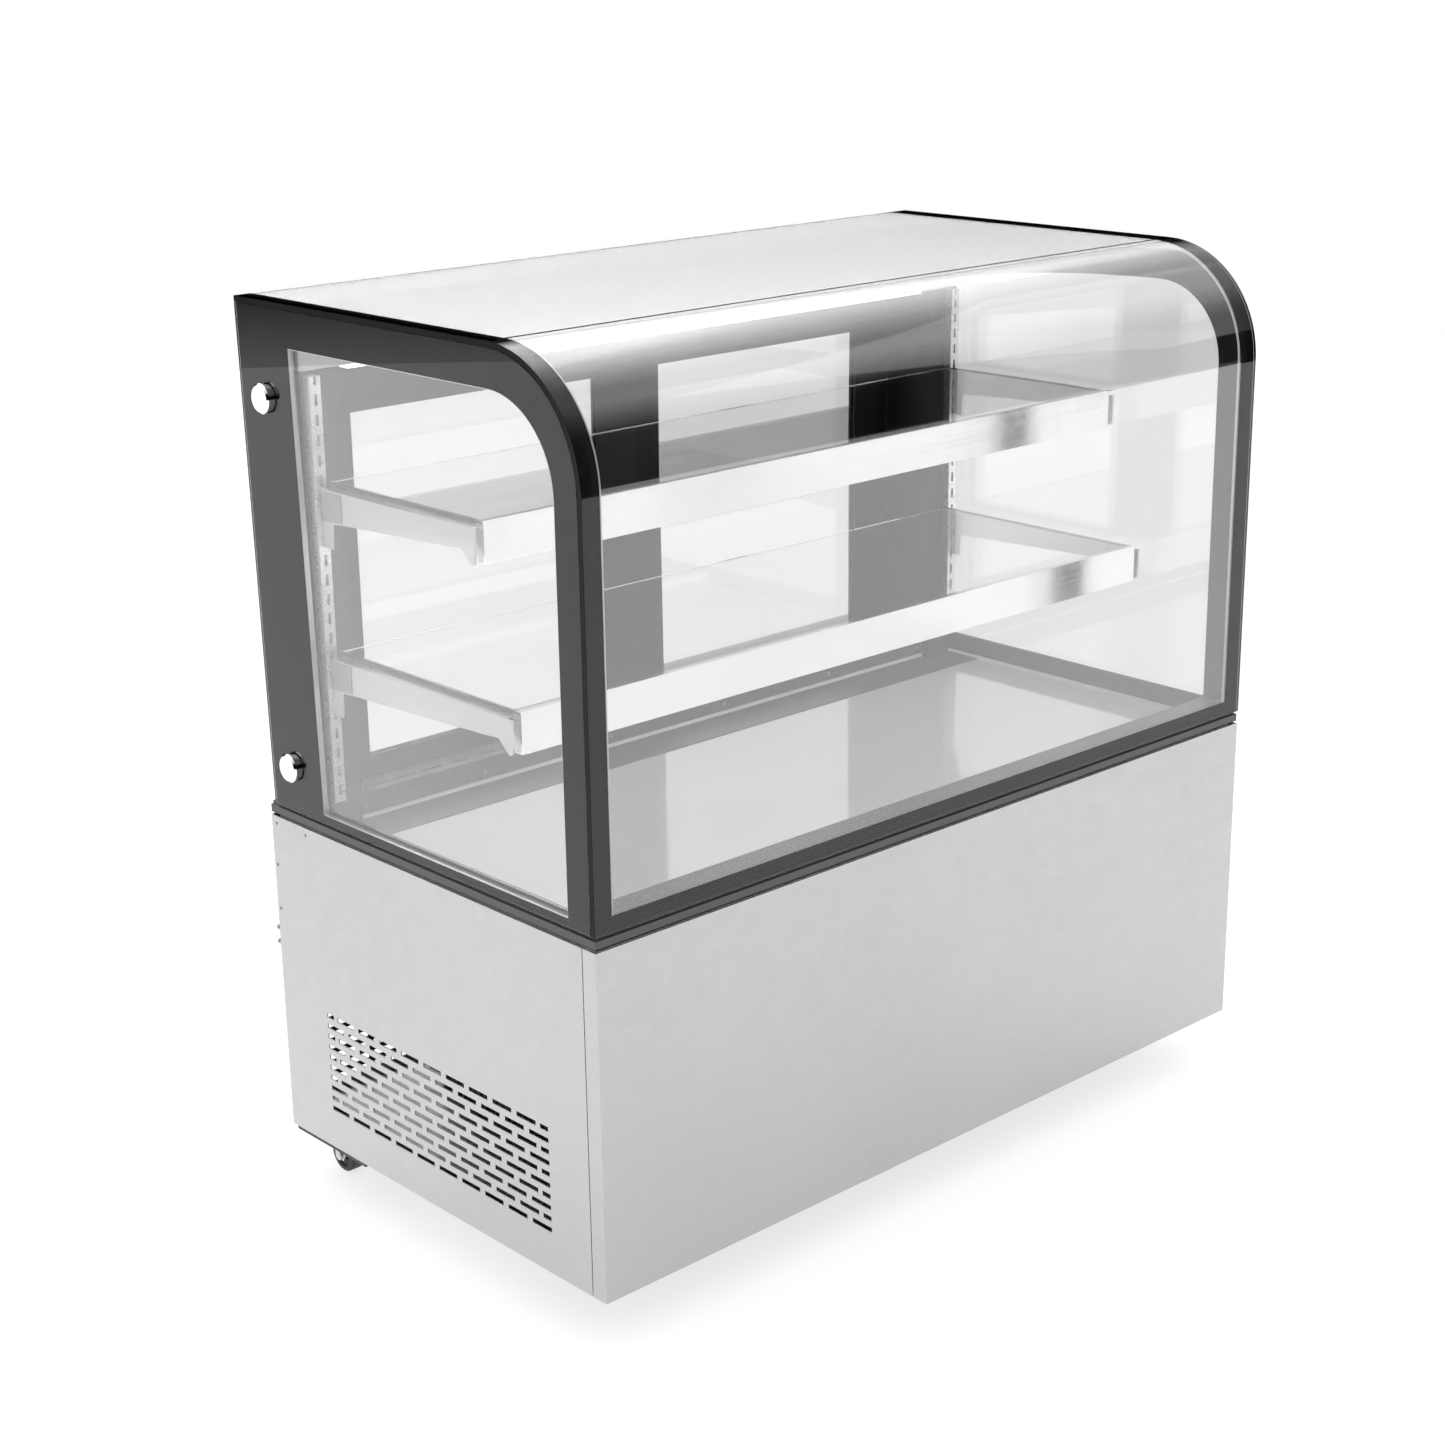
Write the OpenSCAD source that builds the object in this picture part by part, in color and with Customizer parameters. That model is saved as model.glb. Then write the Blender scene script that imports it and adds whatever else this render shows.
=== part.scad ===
// Curved-glass bakery display case: a refrigerated counter on four casters.
// Millimetres. X runs along the front, -Y faces the customer and +Z is up.
// The origin is on the floor, under the middle of the case.

/* [Cabinet] */
// Overall width of the cabinet
case_w = 1200; // [1150:10:1400]
// Height from the floor to the top of the glass
case_h = 1200; // [1200:10:1260]
// Depth from the front glass to the back of the cabinet
case_d = 660; // [655:5:700]
// Height of the lower edge of the steel panels above the floor
skirt_z = 76; // [76:1:80]
// Height of the steel panels
base_h = 448; // [446:2:460]
// Thickness of the sheet-metal panels
sheet_t = 1.5; // [1.2:0.1:2]
// Height of the black rail under the glass
rail_h = 18; // [16:1:20]
// How far the cord hooks stand out behind the cabinet
hook_reach = 20; // [15:1:25]

/* [Glass] */
// Radius of the curved front glass, outside
nose_r = 155; // [140:5:170]
// Thickness of the curved front glass
glass_t = 7; // [6:0.5:8]
// Thickness of the outer end pane
pane_t = 5; // [4:0.5:6]
// Width of the printed border at the back of an end pane
rear_border = 108; // [100:2:116]
// Width of the printed border along the top and the front of an end pane
side_border = 50; // [40:2:60]
// Width of the printed strip at each end of the front glass
front_border = 18.5; // [15:0.5:25]

/* [Shelves] */
// Height of the upper shelf's top face
upper_shelf_z = 980; // [960:5:990]
// Height of the lower shelf's top face
lower_shelf_z = 763; // [750:5:780]
// Front edge of the upper shelf
upper_shelf_y = -117; // [-130:1:-100]
// Front edge of the lower shelf
lower_shelf_y = -173; // [-185:1:-150]
// Height of the rail along a shelf's front edge
shelf_rail_h = 52; // [40:1:56]

/* [Vents] */
// Slots in a full row of the side vent
vent_cols = 10; // [6:1:10]
// Rows of slots in the side vent
vent_rows = 10; // [4:1:12]

/* [Rear doors] */
// Width of one sliding door
door_w = 539; // [539:1:545]
// Width of a door's upright members
stile_w = 70; // [60:1:72]

/* [Casters] */
// Radius of a caster wheel
wheel_r = 25; // [22:0.5:25]

/* [Hidden] */
$fn = 64;

// Cabinet lines
half_w = case_w / 2;
front_y = -(case_d + hook_reach) / 2;
back_y = front_y + case_d;
panel_top = skirt_z + base_h;
glass_z = panel_top + rail_h;
fold_w = 24;          // front panel's return round each corner
seam = 1.2;           // open seam between the front and side panels
slack = 0.3;          // least air between pieces that move past each other
run_fit = 0.05;       // radial clearance of a shaft in its bore

// End glazing, from the outside in
film_t = 0.5;
gap_t = 7;
inner_pane_t = 4;
edge_gap = 1;         // between the front glass and the panes behind it
pane_in = half_w - pane_t;
spacer_out = pane_in - film_t;
inner_out = spacer_out - gap_t;
inner_in = inner_out - inner_pane_t;
lean = 14;            // how far the rear edge of an end pane leans back

// Display floor
deck_z = panel_top + 2;
curb_z = deck_z + 31;
curb_in = inner_in - 3.5;
ledge_y = front_y + 53;
floor_back = front_y + 554;
base_slab = 30;
slab_z = panel_top - base_slab;

// Rear structure
post_y = front_y + 543;
riser_z = deck_z + 34;
riser_back = floor_back + 47;
header_z = case_h - 82;
header_top = case_h - glass_t - 0.5;
jamb_in = half_w - 70;
inner_door_y = post_y + 70;
outer_door_y = inner_door_y + 23;
door_t = 18;
track_z = deck_z + 6;
door_z = track_z + 0.6;
door_top = header_z + 12;
door_sill = 51;
door_head = door_top - (case_h - 158);
meet = 4;             // how far a door reaches past the middle
pull_w = 26;
pull_h = 110;
pull_deep = 9;
pull_z = 830;

// Shelf hardware
standard_x = half_w - 30;
standard_w = 16;
standard_d = 12;
standard_z = deck_z + 40;
slot_pitch = 25;
shelf_half = half_w - 42;
shelf_t = 6;
shelf_back = post_y - 13;
arm_t = 3;

// Side vent
vent_pitch = 46.9;
vent_slot = 36.6;
vent_h = 5.8;
vent_row_pitch = 14.9;
vent_y = front_y + 99;
vent_z = skirt_z + 59;

// Frame and casters
tube = 30;
frame_z = skirt_z + 1;
plate_z = frame_z - 8;
front_caster = [half_w - 100, front_y + 135];
rear_caster = [half_w - 60, back_y - 58];
trail = 18;
axle_r = 4;
king_r = 6;
fork_top = plate_z - 6;
brake_pin = [trail + 9, fork_top - 7];

// Machine compartment
tray_z = frame_z + tube;
cond_x = -440;
cond_t = 45;
cond_y = [-150, 190];
cond_z = [tray_z + 5, tray_z + 265];
fan_x = cond_x + cond_t + 17;
fan_c = [20, (cond_z[0] + cond_z[1]) / 2];
fan_r = 104;
coil_y = floor_back + 20;
coil_z = slab_z - 40;
well_x = [-344, 514];
well_y = [coil_y - 32, coil_y + 32];
well_z = coil_z - 34;
drain_x = 400;
drain_z = tray_z + 53;
blower_x = [330, 500];
blower_r = 22;
comp = [120, 40];
comp_r = 78;
tube_low = cond_z[0] + 18;
tube_step = 31;
liquid_x = -386;
suction_x = -366;

// Rear controls
panel_back = back_y;
control_x = 360;
control_z = panel_top - 70;
rocker_x = [46, 68];
grille_win = [[-565, -165], [skirt_z + 34, skirt_z + 324]];

// ---- Helpers -------------------------------------------------------------

// Box from its low corner to its high corner
module block(a, b) {
    translate(a) cube([b[0] - a[0], b[1] - a[1], b[2] - a[2]]);
}

// The children and their mirror image across the middle of the case
module both_sides() {
    children();
    mirror([1, 0, 0]) children();
}

// Stretches a (y, z) outline along X from x0 to x1
module along_x(x0, x1) {
    translate([x0, 0, 0]) rotate([90, 0, 90]) linear_extrude(x1 - x0) children();
}

// Round rod between two points that share two of their coordinates
module rod(a, b, r) {
    d = b - a;
    len = norm(d);
    turn = abs(d[0]) > 0 ? [0, sign(d[0]) * 90, 0] : abs(d[1]) > 0 ? [-sign(d[1]) * 90, 0, 0]
        : [d[2] > 0 ? 0 : 180, 0, 0];
    translate(a) rotate(turn) cylinder(r = r, h = len);
}

// Pipe through a list of points, with a round elbow at each turn
module pipe(points, r) {
    for (i = [0 : len(points) - 2]) {
        rod(points[i], points[i + 1], r);
    }
    for (i = [1 : len(points) - 2]) {
        translate(points[i]) sphere(r = r * 1.04);
    }
}

// (y, z) outline with a rounded top front corner and a leaning rear edge
module nose_shape(front, rear_low, rear_high, bottom, top, r) {
    intersection() {
        union() {
            translate([front + r, bottom]) square([rear_high - front - r, top - bottom]);
            translate([front, bottom]) square([r + 1, top - r - bottom]);
            translate([front + r, top - r]) circle(r);
        }
        polygon([[front - 1, bottom], [rear_low, bottom], [rear_high, top], [front - 1, top]]);
    }
}

// Outline of an end pane, cut back all round by inset
module pane_outline(inset) {
    cut = glass_t + edge_gap + inset;
    nose_shape(front_y + cut, back_y - lean - inset, back_y - inset,
        glass_z + inset, case_h - cut, nose_r - cut);
}

// Outline of the clear part of an end pane, grown on every side by grow
module pane_window(grow) {
    nose_shape(front_y + side_border - grow,
        back_y - rear_border - lean + grow, back_y - rear_border + grow,
        glass_z + 10 - grow, case_h - side_border - 4 + grow, nose_r - 45 + grow);
}

// Section of the front glass, between two depths under its outer face
module bent_section(t0, t1, bottom) {
    difference() {
        nose_shape(front_y + t0, back_y - 1, back_y, bottom, case_h - t0, nose_r - t0);
        nose_shape(front_y + t1, back_y + 9, back_y + 9, bottom - 9, case_h - t1, nose_r - t1);
    }
}

// ---- Base ----------------------------------------------------------------

// Black welded chassis: a ring of square tube on two cross channels
module base_frame() {
    color("#1c1c1e") {
        difference() {
            block([-half_w + 4, front_y + 6, frame_z], [half_w - 4, back_y - 4, tray_z]);
            for (s = [-1, 1]) {
                block([s < 0 ? -half_w + 4 + tube : tube / 2, front_y + 6 + tube, frame_z - 1],
                    [s < 0 ? -tube / 2 : half_w - 4 - tube, back_y - 4 - tube, tray_z + 1]);
            }
        }
        block([-half_w + 2.5, back_y - 165, plate_z], [half_w - 2.5, back_y - 8, frame_z]);
        block([-half_w + 60, front_y + 90, plate_z], [half_w - 60, front_y + 200, frame_z]);
    }
}

// Galvanised floor of the machine compartment
module base_tray() {
    color("#9a9c9e")
    difference() {
        block([-half_w + 20, front_y + 20, tray_z], [half_w - 20, back_y - 14, tray_z + 16]);
        block([-half_w + 20 + sheet_t, front_y + 20 + sheet_t, tray_z + 2],
            [half_w - 20 - sheet_t, back_y - 14 - sheet_t, tray_z + 17]);
    }
}

// Front panel with a return round each corner
module front_panel() {
    color("#c9cacb")
    difference() {
        block([-half_w, front_y, skirt_z], [half_w, front_y + fold_w, panel_top]);
        block([-half_w + sheet_t, front_y + sheet_t, skirt_z - 1],
            [half_w - sheet_t, front_y + fold_w + 1, panel_top + 1]);
    }
}

// Side panel: a sheet with a return along its rear edge
module side_sheet() {
    back = back_y - sheet_t - 0.2;
    block([-half_w, front_y + fold_w + seam, skirt_z], [-half_w + sheet_t, back, panel_top]);
    block([-half_w + 0.2, back - sheet_t, skirt_z], [-half_w + 22, back, panel_top]);
}

// One row of vent slots; odd rows are shifted by half a pitch, with a half slot at each end
module vent_row(odd) {
    slot_half = (vent_pitch - 2 * (vent_pitch - vent_slot)) / 2 + 2;
    span = (vent_cols - 1) * vent_pitch + vent_slot;
    if (odd == 0) {
        for (i = [0 : vent_cols - 1]) {
            vent_cut(i * vent_pitch, vent_slot);
        }
    } else {
        vent_cut(0, slot_half);
        for (i = [0 : vent_cols - 2]) {
            vent_cut((i + 0.5) * vent_pitch, vent_slot);
        }
        vent_cut(span - slot_half, slot_half);
    }
}

// One slot through the left panel, starting at y along the vent
module vent_cut(y, length) {
    block([-half_w - 1, vent_y + y, -vent_h / 2], [-half_w + sheet_t + 1, vent_y + y + length, vent_h / 2]);
}

module left_side_panel() {
    color("#cccdce")
    difference() {
        side_sheet();
        for (row = [0 : vent_rows - 1]) {
            translate([0, 0, vent_z + row * vent_row_pitch]) vent_row(row % 2);
        }
    }
}

module right_side_panel() {
    color("#cccdce") mirror([1, 0, 0]) side_sheet();
}

// Rear panel with a service window, louvre slots and cut-outs for the controls
module rear_panel() {
    color("#c2c3c4")
    difference() {
        block([-half_w + 1, panel_back - sheet_t, skirt_z], [half_w - 1, panel_back, panel_top]);
        block([grille_win[0][0], panel_back - 3, grille_win[1][0]],
            [grille_win[0][1], panel_back + 1, grille_win[1][1]]);
        for (i = [0 : 9], j = [0 : 3]) {
            block([60 + j * 118, panel_back - 3, skirt_z + 60 + i * 20],
                [150 + j * 118, panel_back + 1, skirt_z + 66 + i * 20]);
        }
        block([control_x - 32, panel_back - 3, control_z - 20], [control_x + 84, panel_back + 1, control_z + 20]);
        rod([-half_w + 90, panel_back - 3, skirt_z + 364], [-half_w + 90, panel_back + 1, skirt_z + 364], 8);
    }
}

// Stamped guard over the service window
module rear_grille() {
    rim = 12;
    cols = 4;
    rows = 18;
    x0 = grille_win[0][0];
    z0 = grille_win[1][0];
    pitch_x = (grille_win[0][1] - x0) / cols;
    pitch_z = (grille_win[1][1] - z0) / rows;
    color("#3a3b3c")
    difference() {
        block([x0 - rim, panel_back, z0 - rim], [grille_win[0][1] + rim, panel_back + 2, grille_win[1][1] + rim]);
        for (i = [0 : cols - 1], j = [0 : rows - 1]) {
            block([x0 + i * pitch_x + 4, panel_back - 1, z0 + j * pitch_z + 4],
                [x0 + (i + 1) * pitch_x - 4, panel_back + 3, z0 + (j + 1) * pitch_z - 3]);
        }
    }
}

// Black rail under the glass: a raised band between two shadow gaps
module top_rail() {
    color("#26272a")
    for (band = [[0, 3, 5], [3, 14, 1], [14, rail_h, 4]]) {
        z0 = panel_top + band[0];
        z1 = panel_top + band[1];
        in = band[2];
        both_sides() block([curb_in + 4, front_y + 1 + in, z0], [half_w - in, back_y - 1, z1]);
        block([-half_w + in, front_y + in, z0], [half_w - in, front_y + 8.5, z1]);
    }
}

// ---- Display floor -------------------------------------------------------

// Foamed floor slab with a well for the cooling coil under its rear edge, and the well's drain
module insulated_base() {
    wall = 6;
    color("#e6e6e2")
    difference() {
        union() {
            block([-half_w + 10, front_y + 9, slab_z], [half_w - 10, back_y - 6, panel_top]);
            block([well_x[0] - wall, well_y[0] - wall, well_z - wall], [well_x[1] + wall, well_y[1] + wall, slab_z + 1]);
            rod([drain_x, coil_y, drain_z], [drain_x, coil_y, well_z - 1], 9);
        }
        block([well_x[0], well_y[0], well_z], [well_x[1], well_y[1], slab_z]);
        block([well_x[0] + 10, floor_back + 4, slab_z - 1], [well_x[1] - 10, riser_back - 4, panel_top + 1]);
        rod([drain_x, coil_y, drain_z - 1], [drain_x, coil_y, well_z + 1], 6.5);
        for (line = [[coil_z - 15, 4.5], [coil_z + 10, 7.5]]) {
            rod([well_x[0] - wall - 1, coil_y, line[0]], [well_x[0] + 1, coil_y, line[0]], line[1]);
        }
    }
}

// Polished floor pan
module deck_pan() {
    color("#dcdddd") {
        block([-curb_in, ledge_y, panel_top], [curb_in, post_y, deck_z]);
        block([-jamb_in, post_y - 1, panel_top], [jamb_in, floor_back, deck_z]);
    }
}

// Dark curbs beside the floor pan and a wide ledge in front of it
module deck_curbs() {
    color("#6d6e70") {
        both_sides() block([curb_in, front_y + 9, panel_top], [curb_in + 3, post_y, curb_z]);
        difference() {
            block([-curb_in - 3, front_y + 9, panel_top], [curb_in + 3, ledge_y, curb_z]);
            block([-curb_in, front_y + 9 + sheet_t, panel_top - 1], [curb_in, ledge_y - sheet_t, curb_z - sheet_t]);
        }
    }
}

// Sheet riser behind the display floor, slotted for the cold air from the coil
module rear_riser() {
    half = jamb_in - 1;
    color("#6d6e70")
    difference() {
        block([-half, floor_back, panel_top], [half, riser_back, riser_z]);
        block([-half + sheet_t, floor_back + sheet_t, panel_top - 1],
            [half - sheet_t, riser_back - sheet_t, riser_z - sheet_t]);
        for (i = [-11 : 11]) {
            block([i * 44 - 16, floor_back + 14, riser_z - 3], [i * 44 + 16, floor_back + 20, riser_z + 1]);
        }
    }
}

// ---- Glass ---------------------------------------------------------------

// Outer panes of the double-glazed ends
module end_outer_glass() {
    color("#dfe8ea", 0.3) both_sides() along_x(-half_w, -pane_in) pane_outline(0);
}

// Inner panes of the double-glazed ends
module end_inner_glass() {
    color("#dfe8ea", 0.3)
    both_sides() along_x(-inner_out, -inner_in)
    intersection() {
        pane_outline(8);
        translate([front_y, curb_z + 0.5]) square([case_d, case_h]);
    }
}

// Spacer bars that part the two end panes
module end_spacers() {
    color("#b9bbbd")
    both_sides() along_x(-spacer_out, -inner_out)
    difference() {
        pane_outline(5);
        pane_window(-1);
    }
}

// Bent front glass: up the front, over the nose and back along the top
module front_glass() {
    color("#e3ecee", 0.3) along_x(-half_w, half_w) bent_section(0, glass_t, glass_z);
}

// Printed black borders on the inner faces of the outer glass
module glass_borders() {
    color("#2a2b2e") {
        both_sides() along_x(-pane_in, -spacer_out)
        difference() {
            pane_outline(0.5);
            pane_window(0);
        }
        for (x = [-half_w + 0.5, half_w - 0.5 - front_border]) {
            along_x(x, x + front_border) bent_section(glass_t, glass_t + film_t, glass_z);
        }
        block([-half_w + front_border, front_y + glass_t, glass_z],
            [half_w - front_border, front_y + glass_t + film_t, glass_z + 19]);
    }
}

// Polished caps that clamp the end panes to the rear posts
module glass_caps() {
    color("#d4d6d8")
    both_sides()
    for (p = [[back_y - 57, case_h - 120], [back_y - 62, glass_z + 61]]) {
        translate([-half_w, p[0], p[1]]) rotate([0, -90, 0]) {
            cylinder(r = 17, h = 4);
            translate([0, 0, 4]) cylinder(r = 19, h = 3.5);
            translate([0, 0, 7.5]) cylinder(r1 = 19, r2 = 16.5, h = 2.5);
        }
    }
}

// ---- Rear structure ------------------------------------------------------

// Posts beside the doors, stepped to let the doors pass behind
module rear_jambs() {
    color("#b4b5b6")
    both_sides() {
        block([jamb_in, post_y, panel_top], [inner_in - 0.2, post_y + 66, header_z]);
        block([jamb_in + 8, post_y + 66, panel_top], [inner_in - 0.2, back_y - 1, header_z]);
    }
}

// Header beam with a groove for each door
module rear_header() {
    color("#c6c7c8")
    difference() {
        block([-inner_in + 0.2, post_y, header_z], [inner_in - 0.2, back_y - 1, header_top]);
        for (y = [inner_door_y, outer_door_y]) {
            block([-jamb_in - 8, y - 1.2, header_z - 1], [jamb_in + 8, y + door_t + 1.2, header_z + 16]);
        }
    }
}

// Bottom track: a plate with three upstanding ribs
module door_track() {
    half = jamb_in - 0.5;
    color("#8f9092") {
        block([-half, riser_back + 1, deck_z], [half, back_y - 1, track_z]);
        for (y = [[inner_door_y - 6, inner_door_y - 2], [inner_door_y + door_t + 1.2, outer_door_y - 1.2],
                [outer_door_y + door_t + 1.2, outer_door_y + door_t + 4]]) {
            block([-half, y[0], deck_z], [half, y[1], track_z + 12]);
        }
    }
}

// Light strips under the header and behind each shelf rail
module light_strips() {
    color("#ffffff") {
        block([-jamb_in + 20, post_y + 4, header_z - 6], [jamb_in - 20, post_y + 22, header_z]);
        for (s = [[upper_shelf_y, upper_shelf_z], [lower_shelf_y, lower_shelf_z]]) {
            block([-shelf_half + 20, s[0] + 3, s[1] - 24], [shelf_half - 20, s[0] + 13, s[1] - 14]);
        }
    }
}

// ---- Shelves -------------------------------------------------------------

// Slotted uprights on the rear posts
module shelf_standards() {
    top = header_z - 6;
    count = floor((top - standard_z - 20) / slot_pitch);
    color("#dadbdc")
    both_sides()
    difference() {
        block([-standard_x - standard_w / 2, post_y - standard_d, standard_z],
            [-standard_x + standard_w / 2, post_y, top]);
        block([-standard_x - standard_w / 2 + sheet_t, post_y - standard_d + sheet_t, standard_z - 1],
            [-standard_x + standard_w / 2 - sheet_t, post_y - 0.01, top + 1]);
        for (i = [0 : count]) {
            z = standard_z + 10 + i * slot_pitch;
            block([-standard_x - 2.2, post_y - standard_d - 1, z],
                [-standard_x + 2.2, post_y - standard_d + 3, z + 14]);
        }
    }
}

// Height of a slot that lies just under a shelf
function slot_below(z) = standard_z + 10 + slot_pitch * floor((z - standard_z - 10) / slot_pitch);

// Tapered shelf arm with a tab that hooks into the upright
module bracket(shelf_y, shelf_z) {
    top = shelf_z - shelf_t;
    face = post_y - standard_d - 0.1;
    tip = shelf_y + 16;
    along_x(-standard_x - arm_t / 2, -standard_x + arm_t / 2)
    polygon([[face, top], [tip, top], [tip, top - 26], [tip + 40, top - 29], [face - 42, top - 40],
        [face - 20, top - 42], [face - 18, top - 74], [face, top - 74]]);
    block([-standard_x - arm_t / 2, tip, top - 2], [-shelf_half + 8, face - 4, top]);
    for (z = [slot_below(top - 20), slot_below(top - 45)]) {
        block([-standard_x - arm_t / 2, face - 1, z + 2], [-standard_x + arm_t / 2, face + 7, z + 11]);
    }
}

module upper_brackets() {
    color("#c7c8c9") both_sides() bracket(upper_shelf_y, upper_shelf_z);
}

module lower_brackets() {
    color("#c7c8c9") both_sides() bracket(lower_shelf_y, lower_shelf_z);
}

// Glass plate of a shelf
module shelf_plate(shelf_y, shelf_z) {
    block([-shelf_half, shelf_y + 3, shelf_z - shelf_t], [shelf_half, shelf_back, shelf_z]);
}

module upper_shelf_glass() {
    color("#d5e2e2", 0.3) shelf_plate(upper_shelf_y, upper_shelf_z);
}

module lower_shelf_glass() {
    color("#d5e2e2", 0.3) shelf_plate(lower_shelf_y, lower_shelf_z);
}

// Rail along a shelf's front edge: a face with a lip under the glass and one at the bottom
module shelf_rail(shelf_y, shelf_z) {
    bottom = shelf_z + 1 - shelf_rail_h;
    along_x(-shelf_half, shelf_half) {
        translate([shelf_y, bottom]) square([3, shelf_rail_h]);
        translate([shelf_y, shelf_z - shelf_t - 3]) square([16, 2.9]);
        polygon([[shelf_y, bottom], [shelf_y + 14, bottom], [shelf_y + 14, bottom + 8],
            [shelf_y + 12, bottom + 8], [shelf_y + 12, bottom + 2], [shelf_y, bottom + 2]]);
    }
}

module upper_shelf_rail() {
    color("#dcdddd") shelf_rail(upper_shelf_y, upper_shelf_z);
}

module lower_shelf_rail() {
    color("#dcdddd") shelf_rail(lower_shelf_y, lower_shelf_z);
}

// ---- Rear doors ----------------------------------------------------------

// Frame of the left door; right_door_frame is its mirror image one track behind
module door_frame(y) {
    x0 = meet - door_w;
    pull_x = x0 + stile_w / 2;
    difference() {
        block([x0, y, door_z], [meet, y + door_t, door_top]);
        block([x0 + stile_w, y - 1, door_z + door_sill], [meet - stile_w, y + door_t + 1, door_top - door_head]);
        block([x0 + stile_w - 8, y + 6, door_z + door_sill - 8],
            [meet - stile_w + 8, y + 12, door_top - door_head + 8]);
        block([pull_x - pull_w / 2, y + door_t - pull_deep, pull_z - pull_h / 2],
            [pull_x + pull_w / 2, y + door_t + 1, pull_z + pull_h / 2]);
    }
}

// Pane that sits in a door frame's groove
module door_pane(y) {
    block([meet - door_w + stile_w - 7, y + 6.2, door_z + door_sill - 7],
        [meet - stile_w + 7, y + 11.8, door_top - door_head + 7]);
}

// Flush cup pull let into the back of a door's outer upright
module door_pull(y) {
    x = meet - door_w + stile_w / 2;
    difference() {
        block([x - pull_w / 2 + 0.1, y + door_t - pull_deep + 0.1, pull_z - pull_h / 2 + 0.1],
            [x + pull_w / 2 - 0.1, y + door_t + 1, pull_z + pull_h / 2 - 0.1]);
        block([x - pull_w / 2 + 3, y + door_t - pull_deep + 2, pull_z - pull_h / 2 + 3],
            [x + pull_w / 2 - 3, y + door_t + 2, pull_z + pull_h / 2 - 3]);
    }
}

module left_door_frame() {
    color("#6f7073") door_frame(inner_door_y);
}

module left_door_glass() {
    color("#e6eef0", 0.3) door_pane(inner_door_y);
}

module left_door_handle() {
    color("#2a2b2e") door_pull(inner_door_y);
}

module right_door_frame() {
    color("#6f7073") mirror([1, 0, 0]) door_frame(outer_door_y);
}

module right_door_glass() {
    color("#e6eef0", 0.3) mirror([1, 0, 0]) door_pane(outer_door_y);
}

module right_door_handle() {
    color("#2a2b2e") mirror([1, 0, 0]) door_pull(outer_door_y);
}

// ---- Machinery -----------------------------------------------------------

// Hermetic compressor: a domed shell on a foot plate
module compressor() {
    h = 130;
    lip = 22;
    color("#202124")
    translate([comp[0], comp[1], tray_z + 2]) {
        translate([-95, -70, 8]) cube([190, 140, 4]);
        for (sx = [-1, 1], sy = [-1, 1]) {
            translate([sx * 78, sy * 55, 0]) cylinder(r = 12, h = 9);
        }
        translate([0, 0, 10]) rotate_extrude() {
            square([comp_r - lip, h]);
            translate([0, lip]) square([comp_r, h - 2 * lip]);
            translate([comp_r - lip, lip]) circle(lip);
            translate([comp_r - lip, h - lip]) circle(lip);
        }
        translate([0, 0, 10 + h / 2 - 2]) cylinder(r = comp_r + 3, h = 4);
        translate([comp_r - 8, -22, 60]) cube([26, 44, 50]);
    }
}

// Finned condenser behind the side vent
module condenser() {
    fins = 28;
    color("#b7b2a6") {
        for (i = [0 : fins]) {
            y = cond_y[0] + 4 + (cond_y[1] - cond_y[0] - 8) * i / fins;
            block([cond_x + 3, y - 0.4, cond_z[0] + 3], [cond_x + cond_t - 3, y + 0.4, cond_z[1] - 3]);
        }
        for (y = [cond_y[0], cond_y[1] - 2]) {
            block([cond_x, y, cond_z[0] - 3], [cond_x + cond_t, y + 2, cond_z[1]]);
        }
        for (i = [0 : 7], j = [0, 1]) {
            z = tube_low + i * tube_step;
            rod([cond_x + 14 + j * 17, cond_y[0] - 6, z], [cond_x + 14 + j * 17, cond_y[1] + 6, z], 4);
        }
    }
}

// Fan plate with its ring, and a motor on three arms
module fan_shroud() {
    x = cond_x + cond_t + 2;
    motor_x = fan_x + 36;
    color("#2b2c2e") {
        difference() {
            union() {
                block([x, cond_y[0], cond_z[0] - 3], [x + 2, cond_y[1], cond_z[1]]);
                rod([x, fan_c[0], fan_c[1]], [x + 30, fan_c[0], fan_c[1]], fan_r + 10);
            }
            rod([x - 1, fan_c[0], fan_c[1]], [x + 31, fan_c[0], fan_c[1]], fan_r + 7);
        }
        rod([motor_x, fan_c[0], fan_c[1]], [motor_x + 48, fan_c[0], fan_c[1]], 32);
        rod([fan_x - 6, fan_c[0], fan_c[1]], [motor_x + 1, fan_c[0], fan_c[1]], axle_r);
        for (a = [90, 210, 330]) {
            translate([motor_x + 4, fan_c[0], fan_c[1]]) rotate([a, 0, 0]) {
                translate([0, -5, 28]) cube([4, 10, fan_r - 19]);
                translate([-(motor_x + 4 - x), -5, fan_r + 7]) cube([motor_x + 8 - x, 10, 2.9]);
            }
        }
    }
}

// Axial fan with flat pitched blades
module condenser_fan() {
    blades = 5;
    color("#3c3d40")
    translate([fan_x, fan_c[0], fan_c[1]])
    difference() {
        union() {
            rod([0, 0, 0], [26, 0, 0], 27);
            for (i = [0 : blades - 1]) {
                rotate([i * 360 / blades, 0, 0]) translate([13, 0, 25]) rotate([0, 0, 28])
                    translate([-1.2, -30, 0]) cube([2.4, 60, fan_r - 34]);
            }
        }
        rod([-20, 0, 0], [50, 0, 0], axle_r + run_fit);
    }
}

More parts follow.
